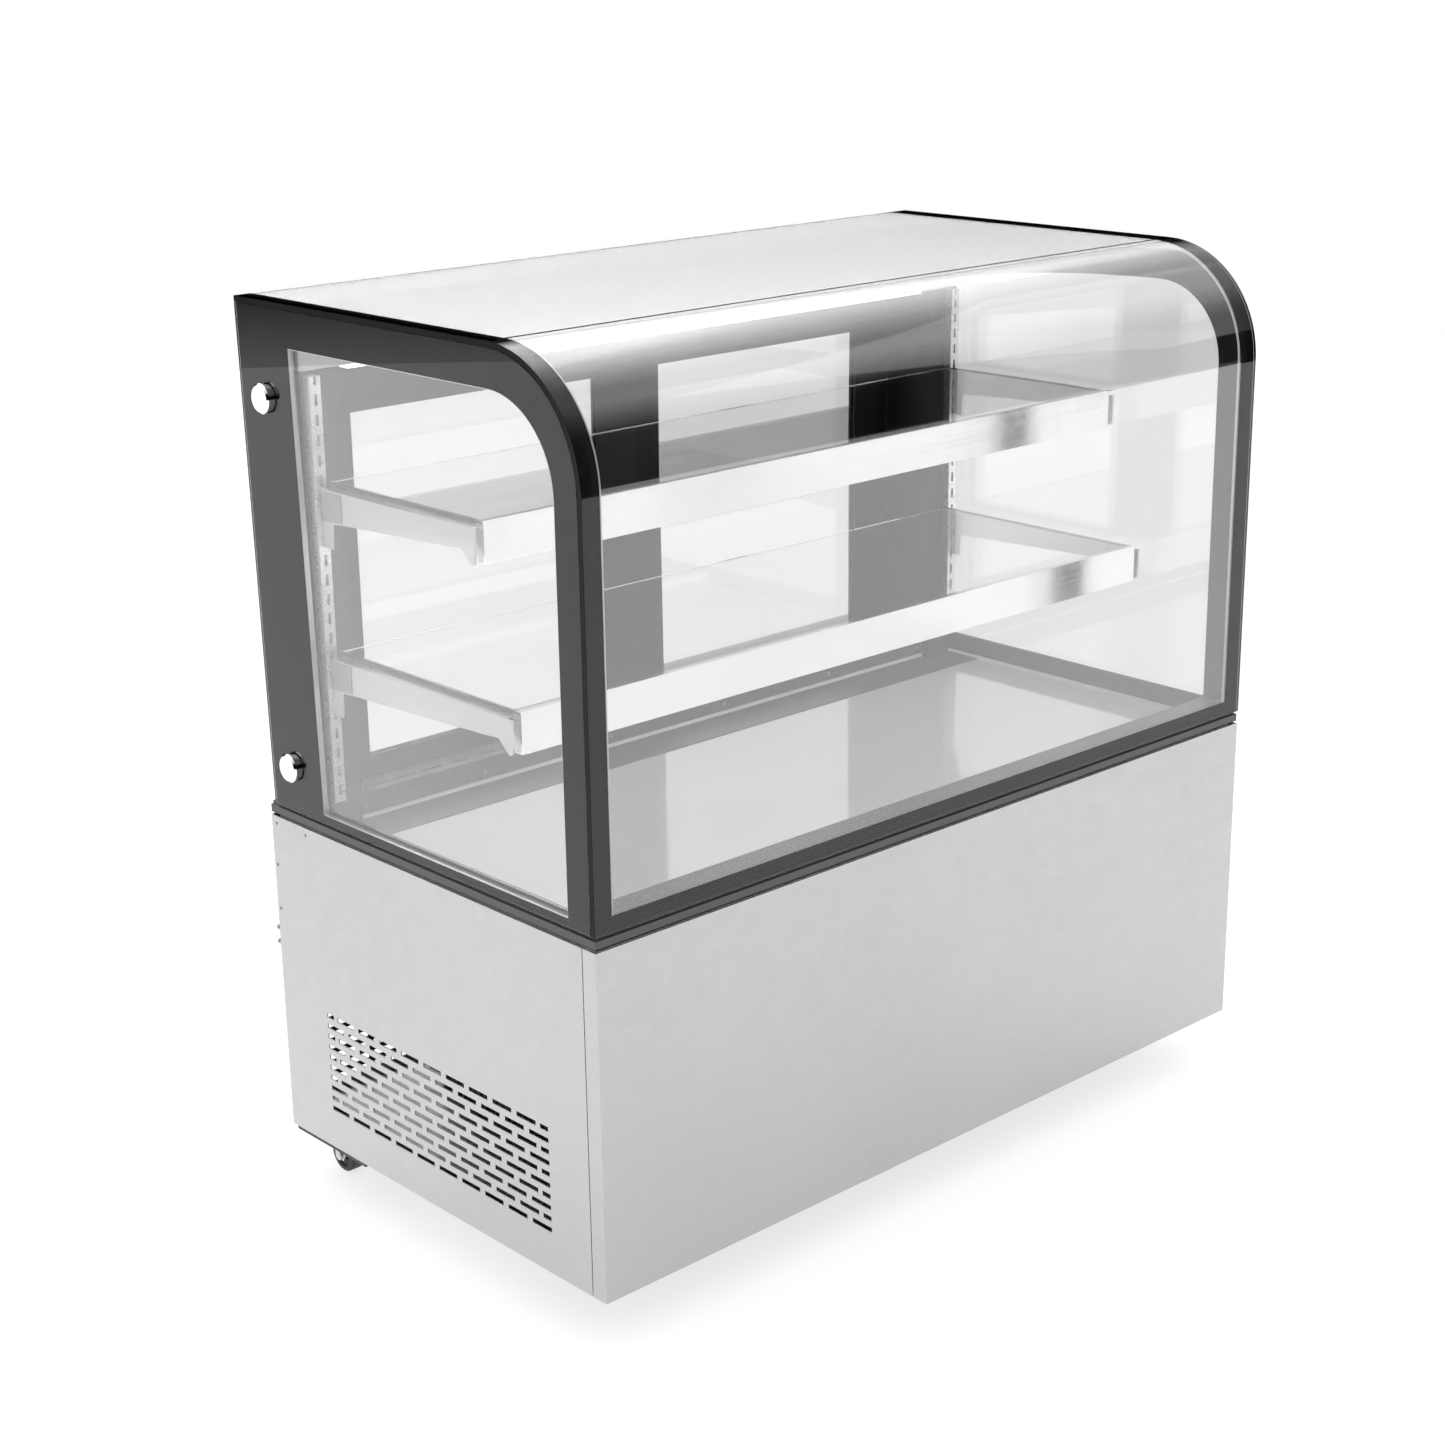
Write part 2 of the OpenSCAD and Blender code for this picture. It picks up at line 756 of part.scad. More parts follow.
// Cooling coil in the well, with the blower's two bearing plates
module evaporator() {
    fins = 30;
    x0 = -320;
    x1 = 300;
    color("#b9bcbe") {
        for (i = [0 : fins]) {
            x = x0 + 3 + (x1 - x0 - 6) * i / fins;
            block([x - 0.4, coil_y - 20, coil_z - 30], [x + 0.4, coil_y + 20, coil_z + 30]);
        }
        for (i = [0 : 2], j = [-1, 1]) {
            rod([x0 - 6, coil_y + j * 10, coil_z - 18 + i * 18], [x1 + 6, coil_y + j * 10, coil_z - 18 + i * 18], 4);
        }
        for (x = [x0, x1 - 2]) {
            block([x, coil_y - 22, coil_z - 32], [x + 2, coil_y + 22, slab_z]);
        }
        for (x = [blower_x[0] - 6, blower_x[1] + 3]) {
            block([x, coil_y - 25, coil_z - 30], [x + 3, coil_y + 25, slab_z]);
        }
        rod([blower_x[0] - 4, coil_y, coil_z], [blower_x[1] + 4, coil_y, coil_z], 3);
    }
}

// Cross-flow blower: blades between three discs, turning on a fixed shaft
module evaporator_fan() {
    blades = 16;
    color("#e2e3e4")
    difference() {
        union() {
            for (x = [blower_x[0], (blower_x[0] + blower_x[1]) / 2, blower_x[1] - 3]) {
                rod([x, coil_y, coil_z], [x + 3, coil_y, coil_z], blower_r);
            }
            rod([blower_x[0], coil_y, coil_z], [blower_x[1], coil_y, coil_z], 6);
            for (i = [0 : blades - 1]) {
                translate([blower_x[0], coil_y, coil_z]) rotate([i * 360 / blades, 0, 0])
                    translate([0, -0.6, blower_r - 8]) cube([blower_x[1] - blower_x[0], 1.2, 7.5]);
            }
        }
        rod([blower_x[0] - 1, coil_y, coil_z], [blower_x[1] + 1, coil_y, coil_z], 3 + run_fit);
    }
}

// Refrigerant lines between the compressor, the condenser and the coil
module copper_pipes() {
    shell_top = tray_z + 12 + 130;
    tube_high = tube_low + 7 * tube_step;
    color("#b06a3c") {
        pipe([[comp[0], comp[1] - 40, shell_top], [comp[0], comp[1] - 40, shell_top + 60],
            [comp[0], -180, shell_top + 60], [cond_x + 31, -180, shell_top + 60],
            [cond_x + 31, -180, tube_high], [cond_x + 31, cond_y[0] - 6, tube_high]], 4);
        pipe([[comp[0], comp[1] + 40, shell_top], [comp[0], comp[1] + 40, shell_top + 90],
            [comp[0], coil_y, shell_top + 90], [suction_x, coil_y, shell_top + 90],
            [suction_x, coil_y, coil_z + 10], [-326, coil_y, coil_z + 10]], 6);
        pipe([[cond_x + 14, cond_y[1] + 6, tube_low], [cond_x + 14, coil_y, tube_low],
            [liquid_x, coil_y, tube_low], [liquid_x, coil_y, coil_z - 15], [-326, coil_y, coil_z - 15]], 3);
    }
}

// Pan that catches the melt water
module drip_tray() {
    a = [270, 70, tray_z + 3];
    b = [500, 270, tray_z + 48];
    color("#8c8e90")
    difference() {
        block(a, b);
        block(a + [2, 2, 2], b + [-2, -2, 1]);
    }
}

// ---- Rear controls -------------------------------------------------------

// Control plate: a display window, four flat keys and two rocker frames
module controller() {
    y = panel_back;
    color("#1f2022") {
        difference() {
            union() {
                block([control_x - 40, y, control_z - 26], [control_x + 92, y + 5, control_z + 26]);
                block([control_x - 31, y - 34, control_z - 19], [control_x + 30, y, control_z + 19]);
                for (x = rocker_x) {
                    block([control_x + x - 10, y - 16, control_z - 16], [control_x + x + 10, y + 1, control_z + 16]);
                }
            }
            block([control_x - 30, y + 4, control_z - 4], [control_x + 28, y + 6, control_z + 18]);
            for (x = rocker_x) {
                block([control_x + x - 7.5, y - 13, control_z - 13.5], [control_x + x + 7.5, y + 6, control_z + 13.5]);
            }
        }
        for (x = rocker_x) {
            rod([control_x + x - 8, y - 1, control_z], [control_x + x + 8, y - 1, control_z], 1.5);
        }
        for (i = [0 : 3]) {
            block([control_x - 28 + i * 15, y + 4, control_z - 18], [control_x - 17 + i * 15, y + 5.6, control_z - 10]);
        }
    }
}

// Rocker of a switch, resting tilted; it turns on the pin in its frame
module rocker(x) {
    tilt = 9;
    translate([control_x + x, panel_back - 1, control_z]) rotate([tilt, 0, 0])
    difference() {
        union() {
            rod([-7, 0, 0], [7, 0, 0], 5);
            along_x(-7, 7) polygon([[-2, -11], [5.2, -12], [6.4, -11.4], [4.4, 0], [6.4, 11.4], [5.2, 12], [-2, 11]]);
        }
        rod([-8, 0, 0], [8, 0, 0], 1.5 + run_fit);
    }
}

module power_switch() {
    color("#2f9e4f") rocker(rocker_x[0]);
}

module light_switch() {
    color("#d8d9da") rocker(rocker_x[1]);
}

// Gland where the mains lead would leave the case
module cable_gland() {
    c = [-half_w + 90, skirt_z + 364];
    color("#18191a")
    difference() {
        union() {
            rod([c[0], panel_back - 8, c[1]], [c[0], panel_back + 12, c[1]], 7.9);
            translate([c[0], panel_back, c[1]]) rotate([-90, 0, 0]) cylinder(r = 12, h = 5, $fn = 6);
            rod([c[0], panel_back - 6, c[1]], [c[0], panel_back - sheet_t, c[1]], 11);
        }
        rod([c[0], panel_back - 9, c[1]], [c[0], panel_back + 13, c[1]], 4);
    }
}

// Two-pronged hooks for the wound-up lead
module cord_hooks() {
    color("#d0d1d2")
    both_sides() {
        x = -half_w + 8;
        block([x, panel_back + 0.2, skirt_z + 248], [x + 12, panel_back + 2.2, skirt_z + 286]);
        for (z = [skirt_z + 256, skirt_z + 276]) {
            block([x, panel_back + 1, z], [x + 12, panel_back + hook_reach, z + 2.5]);
            block([x, panel_back + hook_reach - 2.5, z], [x + 12, panel_back + hook_reach, z + 7]);
        }
    }
}

// Screw heads on the side panels and on the riser
module panel_screws() {
    color("#8a8c8e") {
        both_sides()
        for (p = [[-9, -11], [-75, -11], [-4.5, -70], [-4.5, -132]]) {
            rod([-half_w, back_y + p[0] - 2, panel_top + p[1]], [-half_w - 1.2, back_y + p[0] - 2, panel_top + p[1]], 2.6);
        }
        both_sides()
        for (x = [108, 323, 520]) {
            rod([x, floor_back, deck_z + 15], [x, floor_back - 1.2, deck_z + 15], 3.2);
        }
    }
}

// ---- Casters -------------------------------------------------------------

// Puts the children at each caster's swivel axis
module at_casters() {
    for (c = [front_caster, rear_caster], s = [-1, 1]) {
        translate([s * c[0], c[1], 0]) children();
    }
}

// Top plates with their kingpins
module caster_plates() {
    color("#a9abad")
    at_casters() {
        difference() {
            translate([-31, -31, plate_z - 3]) cube([62, 62, 3]);
            for (sx = [-1, 1], sy = [-1, 1]) {
                translate([sx * 24, sy * 24, plate_z - 4]) cylinder(r = 3.2, h = 5);
            }
        }
        translate([0, 0, plate_z - 5.5]) cylinder(r = 21, h = 3);
        translate([0, 0, plate_z - 14]) cylinder(r = king_r, h = 12);
        translate([0, 0, plate_z - 15]) cylinder(r = 9, h = 3.4);
    }
}

// Swivel fork with its axle; the wheel trails behind the kingpin
module fork(x, y, braked) {
    top = fork_top;
    color("#b5b7b9")
    translate([x, y, 0]) {
        difference() {
            translate([0, 0, top - 5]) cylinder(r = 21, h = 5);
            translate([0, 0, top - 6]) cylinder(r = king_r + run_fit, h = 7);
        }
        for (side = [-14.5, 12]) {
            along_x(side, side + 2.5)
            polygon([[-12, top - 0.5], [31, top - 0.5], [33, top - 14], [trail + 9, wheel_r - 6],
                [trail - 8, wheel_r - 6], [-6, top - 16]]);
        }
        rod([-17, trail, wheel_r], [17, trail, wheel_r], axle_r);
        for (side = [[-17, -14.5], [14.5, 17]]) {
            rod([side[0], trail, wheel_r], [side[1], trail, wheel_r], 6.5);
        }
        if (braked) {
            rod([-13, brake_pin[0], brake_pin[1]], [13, brake_pin[0], brake_pin[1]], 2);
        }
    }
}

// Wheel: a crowned tyre on a recessed hub
module wheel(x, y) {
    color("#3b3c3e")
    translate([x, y + trail, wheel_r]) rotate([0, 90, 0]) rotate_extrude()
    difference() {
        union() {
            translate([axle_r + run_fit, -10]) square([wheel_r - 4 - axle_r, 20]);
            translate([wheel_r - 5, -8]) square([5, 16]);
            translate([wheel_r - 5, 0]) intersection() {
                translate([0, 0]) circle(10);
                translate([-1, -10]) square([5, 20]);
            }
        }
        for (side = [-11, 7]) {
            translate([10, side]) square([8, 4]);
        }
    }
}

// Brake pedal that turns on a pin in the fork
module brake(x, y) {
    color("#c43a2e")
    translate([x, y, 0])
    difference() {
        union() {
            rod([-11, brake_pin[0], brake_pin[1]], [11, brake_pin[0], brake_pin[1]], 4.2);
            along_x(-11, 11) polygon([[brake_pin[0], brake_pin[1] + 1], [brake_pin[0] + 24, brake_pin[1] + 3],
                [brake_pin[0] + 26, brake_pin[1] + 6], [brake_pin[0] + 6, brake_pin[1] + 5],
                [brake_pin[0], brake_pin[1] + 4.2]]);
        }
        rod([-12, brake_pin[0], brake_pin[1]], [12, brake_pin[0], brake_pin[1]], 2 + run_fit);
    }
}

module front_left_fork() {
    fork(-front_caster[0], front_caster[1], true);
}

module front_right_fork() {
    fork(front_caster[0], front_caster[1], true);
}

module rear_left_fork() {
    fork(-rear_caster[0], rear_caster[1], false);
}

module rear_right_fork() {
    fork(rear_caster[0], rear_caster[1], false);
}

module front_left_wheel() {
    wheel(-front_caster[0], front_caster[1]);
}

module front_right_wheel() {
    wheel(front_caster[0], front_caster[1]);
}

module rear_left_wheel() {
    wheel(-rear_caster[0], rear_caster[1]);
}

module rear_right_wheel() {
    wheel(rear_caster[0], rear_caster[1]);
}

module front_left_brake() {
    brake(-front_caster[0], front_caster[1]);
}

module front_right_brake() {
    brake(front_caster[0], front_caster[1]);
}

// ---- Nodes ---------------------------------------------------------------

base_frame();
base_tray();
front_panel();
left_side_panel();
right_side_panel();
rear_panel();
rear_grille();
top_rail();
insulated_base();
deck_pan();
deck_curbs();
end_outer_glass();
end_inner_glass();
end_spacers();
front_glass();
glass_borders();
glass_caps();
shelf_standards();
rear_jambs();
rear_header();
light_strips();
rear_riser();
door_track();
upper_brackets();
lower_brackets();
upper_shelf_glass();
lower_shelf_glass();
upper_shelf_rail();
lower_shelf_rail();
compressor();
condenser();
fan_shroud();
evaporator();
copper_pipes();
drip_tray();
controller();
cable_gland();
panel_screws();
cord_hooks();
caster_plates();
left_door_frame();
left_door_glass();
left_door_handle();
right_door_frame();
right_door_glass();
right_door_handle();
front_left_fork();
front_right_fork();
rear_left_fork();
rear_right_fork();
front_left_wheel();
front_right_wheel();
rear_left_wheel();
rear_right_wheel();
front_left_brake();
front_right_brake();
condenser_fan();
evaporator_fan();
power_switch();
light_switch();
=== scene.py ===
"""Looks of a curved-glass bakery display case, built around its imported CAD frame.

Every CAD node keeps its shape and gets a finish made of shader nodes. Small pieces that the
frame leaves out, such as glazing borders, seals, screw heads and louvre hoods, are built here.
All lengths are metres in the frame's own axes: +Z up, -Y towards the customer.
"""

import logging
import math
from dataclasses import dataclass
from enum import Enum
from typing import Iterable, Sequence

import bmesh
import bpy
from mathutils import Matrix, Vector

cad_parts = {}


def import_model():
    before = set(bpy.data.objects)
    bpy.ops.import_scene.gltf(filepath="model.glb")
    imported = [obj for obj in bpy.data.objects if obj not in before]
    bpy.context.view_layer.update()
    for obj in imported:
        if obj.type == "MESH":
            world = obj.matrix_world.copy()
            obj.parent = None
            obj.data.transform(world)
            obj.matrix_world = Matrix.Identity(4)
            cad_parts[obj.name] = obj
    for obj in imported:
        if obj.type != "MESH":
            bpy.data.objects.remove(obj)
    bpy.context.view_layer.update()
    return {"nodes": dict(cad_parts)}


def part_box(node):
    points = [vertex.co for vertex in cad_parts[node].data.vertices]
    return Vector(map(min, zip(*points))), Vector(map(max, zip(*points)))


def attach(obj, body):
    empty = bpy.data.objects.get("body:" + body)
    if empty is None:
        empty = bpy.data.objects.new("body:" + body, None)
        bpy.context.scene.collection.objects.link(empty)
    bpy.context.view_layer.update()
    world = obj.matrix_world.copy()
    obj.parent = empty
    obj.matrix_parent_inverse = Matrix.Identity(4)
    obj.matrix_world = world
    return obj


LOG = logging.getLogger("display_case")
Point = tuple[float, float]
Place = tuple[float, float, float]
Colour = tuple[float, float, float]


class Axis(Enum):
    """Direction along which a sheet was brushed, drawn or extruded."""

    X = 0
    Y = 1
    Z = 2


class End(Enum):
    """The two ends of the case, as the sign of X."""

    LEFT = -1
    RIGHT = 1

    @property
    def side(self) -> str:
        """The end's word in the names of pieces and nodes."""
        return self.name.lower()


# ---- Shader wiring ----------------------------------------------------------


class Wiring:
    """A material or world whose nodes are being joined up."""

    def __init__(self, name: str, world: bool = False) -> None:
        """Starts an empty node tree.

        Args:
            name: the material's or world's name.
            world: True for a world.
        """
        data = bpy.data.worlds if world else bpy.data.materials
        self.owner = data.new(name)
        self.owner.use_nodes = True
        self.tree = self.owner.node_tree
        self.tree.nodes.clear()
        kind = "ShaderNodeOutputWorld" if world else "ShaderNodeOutputMaterial"
        self.output = self.tree.nodes.new(kind)
        self._place: bpy.types.NodeSocket | None = None

    def node(self, kind: str, **values: object) -> bpy.types.Node:
        """Adds a node.

        Args:
            kind: Blender's name of the node type.
            values: node settings, or input values where the name starts with a capital letter
                or holds "__" in place of a space.

        Returns:
            The new node.
        """
        made = self.tree.nodes.new(kind)
        for key, value in values.items():
            if key[0].isupper():
                self.put(made.inputs[key.replace("__", " ")], value)
            else:
                setattr(made, key, value)
        return made

    def put(self, socket: bpy.types.NodeSocket, value: object) -> None:
        """Feeds a socket from another socket, or sets its own value.

        Args:
            socket: the input to feed.
            value: a socket, a colour or a number.
        """
        if isinstance(value, bpy.types.NodeSocket):
            self.tree.links.new(value, socket)
        elif isinstance(value, tuple) and len(value) == 3 and socket.type == "RGBA":
            socket.default_value = (*value, 1.0)
        else:
            socket.default_value = value

    def place(self) -> bpy.types.NodeSocket:
        """The point on the piece, in metres of the frame."""
        if self._place is None:
            self._place = self.node("ShaderNodeTexCoord").outputs["Object"]
        return self._place

    def noise(self, scale: float, detail: float = 3.0,
              stretch: Sequence[float] = (1, 1, 1)) -> bpy.types.NodeSocket:
        """Cloudy noise.

        Args:
            scale: lumps per metre.
            detail: octaves of finer noise.
            stretch: factor on the scale along each axis.

        Returns:
            A socket from 0 to 1.
        """
        where = self.place()
        if tuple(stretch) != (1, 1, 1):
            where = self.node("ShaderNodeMapping", Vector=where, Scale=tuple(stretch)).outputs[0]
        return self.node("ShaderNodeTexNoise", Vector=where, Scale=scale, Detail=detail).outputs["Fac"]

    def math(self, operation: str, a: object, b: object = 0.0, clamp: bool = False) -> bpy.types.NodeSocket:
        """One sum on numbers.

        Args:
            operation: Blender's name of the sum.
            a: first number or socket.
            b: second number or socket.
            clamp: True to keep the result within 0 to 1.

        Returns:
            The result's socket.
        """
        made = self.node("ShaderNodeMath", operation=operation, use_clamp=clamp)
        self.put(made.inputs[0], a)
        self.put(made.inputs[1], b)
        return made.outputs[0]

    def spread(self, value: bpy.types.NodeSocket, low: float, high: float,
               start: float = 0.0, end: float = 1.0) -> bpy.types.NodeSocket:
        """Maps start..end on a socket to low..high, clamped.

        Args:
            value: the socket to map.
            low: result at the start.
            high: result at the end.
            start: value that gives low.
            end: value that gives high.

        Returns:
            The mapped socket.
        """
        made = self.node("ShaderNodeMapRange", Value=value)
        for name, number in (("From Min", start), ("From Max", end), ("To Min", low), ("To Max", high)):
            made.inputs[name].default_value = number
        return made.outputs[0]

    def between(self, factor: bpy.types.NodeSocket, a: object, b: object) -> bpy.types.NodeSocket:
        """A colour between two colours.

        Args:
            factor: 0 for the first colour and 1 for the second.
            a: first colour or socket.
            b: second colour or socket.

        Returns:
            The mixed colour's socket.
        """
        made = self.node("ShaderNodeMix", data_type="RGBA")
        self.put(made.inputs["Factor"], factor)
        self.put(made.inputs[6], a)
        self.put(made.inputs[7], b)
        return made.outputs[2]

    def ramp(self, value: bpy.types.NodeSocket, stops: Iterable[tuple[float, float]]) -> bpy.types.NodeSocket:
        """A grey ramp through (position, level) stops.

        Args:
            value: socket that runs along the ramp.
            stops: positions from 0 to 1 with their grey levels.

        Returns:
            The grey level's socket.
        """
        made = self.node("ShaderNodeValToRGB", Fac=value)
        elements = made.color_ramp.elements
        for index, (position, level) in enumerate(stops):
            stop = elements[index] if index < 2 else elements.new(position)
            stop.position = position
            stop.color = (level, level, level, 1.0)
        return made.outputs[0]

    def bump(self, height: bpy.types.NodeSocket, strength: float, distance: float) -> bpy.types.NodeSocket:
        """A normal bent by a height."""
        return self.node("ShaderNodeBump", Height=height, Strength=strength, Distance=distance).outputs[0]

    def finish(self, surface: bpy.types.NodeSocket) -> bpy.types.ID:
        """Joins the surface to the output and returns the material or world."""
        self.tree.links.new(surface, self.output.inputs["Surface"])
        return self.owner


def mix_shaders(wiring: Wiring, factor: object, a: bpy.types.NodeSocket,
                b: bpy.types.NodeSocket) -> bpy.types.NodeSocket:
    """Blends two shaders; factor 0 is the first and 1 the second.

    Args:
        wiring: the material or world that they belong to.
        factor: number or socket from 0 to 1.
        a: first shader.
        b: second shader.

    Returns:
        The blended shader's socket.
    """
    made = wiring.node("ShaderNodeMixShader")
    wiring.put(made.inputs[0], factor)
    wiring.put(made.inputs[1], a)
    wiring.put(made.inputs[2], b)
    return made.outputs[0]


# ---- Finishes ---------------------------------------------------------------


@dataclass(frozen=True)
class Metal:
    """Bare metal sheet or casting with grain, smudges and worn edges.

    Attributes:
        name: the material's name.
        colour: colour that it mirrors.
        roughness: middle of its roughness.
        grain: direction of the brushing, or None where it has none.
        grain_depth: strength of the brushing's bump.
        smudge: how much the colour changes over the sheet.
        stretched: anisotropy of the highlight.
        share: how much of a bare metal it is, less than 1 where a hazy film lies over it.
    """

    name: str
    colour: Colour
    roughness: float
    grain: Axis | None = Axis.X
    grain_depth: float = 0.04
    smudge: float = 0.05
    stretched: float = 0.0
    share: float = 1.0

    def build(self) -> bpy.types.Material:
        """Wires the material.

        Returns:
            The material.
        """
        w = Wiring(self.name)
        along, across = 3.0, 900.0
        stretch = [across if self.grain else 300.0] * 3
        if self.grain:
            stretch[self.grain.value] = along
        lines = w.noise(1.0, 3.0, stretch)
        clouds = w.noise(2.3, 5.0)
        worn = w.noise(38.0, 6.0)
        blend = w.math("ADD", w.math("MULTIPLY", lines, 0.45), w.math("MULTIPLY", clouds, 0.55))
        dark = tuple(c * (1 - self.smudge) for c in self.colour)
        light = tuple(min(1.0, c * (1 + self.smudge)) for c in self.colour)
        colour = w.between(w.spread(blend, 0, 1, 0.3, 0.7), dark, light)
        rough = w.math("ADD", w.spread(lines, -0.05, 0.05, 0.3, 0.7), w.spread(worn, -0.03, 0.05, 0.35, 0.75))
        rough = w.math("ADD", rough, self.roughness, clamp=True)
        shader = w.node("ShaderNodeBsdfPrincipled", Base__Color=colour, Metallic=self.share, Roughness=rough,
                        Anisotropic=self.stretched,
                        Normal=w.bump(lines, self.grain_depth, 0.0002))
        return w.finish(shader.outputs[0])


@dataclass(frozen=True)
class Paint:
    """Powder coat, moulded plastic or rubber: a dull or glossy skin with a fine orange peel.

    Attributes:
        name: the material's name.
        colour: body colour.
        roughness: middle of its roughness.
        peel: lumps per metre of the skin's texture.
        depth: height of that texture in metres.
        metallic: how much of a metal it is, as on an anodised skin.
        coat: strength of a clear coat.
        gloss: strength of its mirror reflection, 0.5 for a usual plastic.
        foot: height below which the skin is painted deep black, a painted shadow gap, or 0 for none.
    """

    name: str
    colour: Colour
    roughness: float
    peel: float = 420.0
    depth: float = 0.00012
    metallic: float = 0.0
    coat: float = 0.0
    gloss: float = 0.5
    foot: float = 0.0

    def build(self) -> bpy.types.Material:
        """Wires the material.

        Returns:
            The material.
        """
        w = Wiring(self.name)
        skin = w.noise(self.peel, 2.0)
        dust = w.noise(5.0, 6.0)
        lifted = tuple(min(1.0, c * 1.12 + 0.004) for c in self.colour)
        colour = w.between(w.spread(dust, 0, 1, 0.35, 0.75), self.colour, lifted)
        # Painted shade: below the foot height the colour is deep black, a painted shadow gap.
        if self.foot:
            spot = w.node("ShaderNodeSeparateXYZ")
            w.put(spot.inputs[0], w.place())
            colour = w.between(w.math("LESS_THAN", spot.outputs[2], self.foot), colour, (0.0, 0.0, 0.0))
        rough = w.math("ADD", w.spread(dust, -0.04, 0.07, 0.3, 0.75), self.roughness, clamp=True)
        shader = w.node("ShaderNodeBsdfPrincipled", Base__Color=colour, Metallic=self.metallic,
                        Roughness=rough, Coat__Weight=self.coat, Coat__Roughness=0.08,
                        Specular__IOR__Level=self.gloss,
                        Normal=w.bump(skin, 0.25, self.depth))
        return w.finish(shader.outputs[0])


@dataclass(frozen=True)
class Glass:
    """Clear toughened glass that lets lamps shine through.

    Attributes:
        name: the material's name.
        tint: what one face lets through.
        ior: refractive index.
        haze: greatest roughness of the finger marks.
    """

    name: str
    tint: Colour = (0.982, 0.985, 0.985)
    ior: float = 1.5
    haze: float = 0.012

    def build(self) -> bpy.types.Material:
        """Wires the material.

        Returns:
            The material.
        """
        w = Wiring(self.name)
        marks = w.spread(w.noise(6.0, 6.0), 0.0, self.haze, 0.62, 0.8)
        solid = w.node("ShaderNodeBsdfPrincipled", Base__Color=self.tint, Roughness=marks, IOR=self.ior,
                       Transmission__Weight=1.0)
        open_way = w.node("ShaderNodeBsdfTransparent", Color=tuple(0.97 * c for c in self.tint))
        lamp_ray = w.node("ShaderNodeLightPath").outputs["Is Shadow Ray"]
        return w.finish(mix_shaders(w, lamp_ray, solid.outputs[0], open_way.outputs[0]))


@dataclass(frozen=True)
class Coating:
    """Heat-reflecting coating under the front glass, which over the flat top turns into a milky layer with a
    painted glow: painted light that stands in for the bright reflection there.

    Attributes:
        name: the material's name.
        mirror: share of the light that it throws back.
        milk: share of the milky layer of painted light over the flat top.
        glow: strength of the milky layer's painted glow, an emission on a film that is no lamp.
        start: Y at which the milky layer begins.
        full: Y from which it is at its full strength.
    """

    name: str
    mirror: float = 0.11
    milk: float = 0.8
    glow: float = 1.75
    start: float = -0.235
    full: float = -0.19

    def build(self) -> bpy.types.Material:
        """Wires the material.

        Returns:
            The material.
        """
        w = Wiring(self.name)
        patches = w.spread(w.noise(1.7, 3.0), self.mirror * 0.93, self.mirror * 1.07, 0.3, 0.7)
        clear = w.node("ShaderNodeBsdfTransparent", Color=(0.985, 0.99, 0.99))
        gloss = w.node("ShaderNodeBsdfGlossy", Color=(1.0, 1.0, 1.0), Roughness=0.0)
        film = mix_shaders(w, patches, clear.outputs[0], gloss.outputs[0])
        # Painted light: over the flat top a milky white layer with an emission glow stands in for the bright
        # reflection there; its share rises along Y.
        where = w.node("ShaderNodeSeparateXYZ")
        w.put(where.inputs[0], w.place())
        share = w.spread(where.outputs[1], 0.0, self.milk, self.start, self.full)
        pale = w.node("ShaderNodeBsdfPrincipled", Base__Color=(0.9, 0.9, 0.9), Roughness=0.6,
                      Emission__Color=(1.0, 1.0, 1.0), Emission__Strength=self.glow)
        return w.finish(mix_shaders(w, share, film, pale.outputs[0]))


@dataclass(frozen=True)
class Lamp:
    """Milky diffuser with light behind it.

    Attributes:
        name: the material's name.
        colour: colour of the diffuser and of its light.
        strength: brightness.
    """

    name: str
    colour: Colour
    strength: float

    def build(self) -> bpy.types.Material:
        """Wires the material.

        Returns:
            The material.
        """
        w = Wiring(self.name)
        dots = w.noise(90.0, 1.0)
        shader = w.node("ShaderNodeBsdfPrincipled", Base__Color=w.between(dots, self.colour, (0.9, 0.9, 0.9)),
                        Roughness=0.35, Emission__Color=self.colour, Emission__Strength=self.strength,
                        Normal=w.bump(dots, 0.1, 0.0003))
        return w.finish(shader.outputs[0])


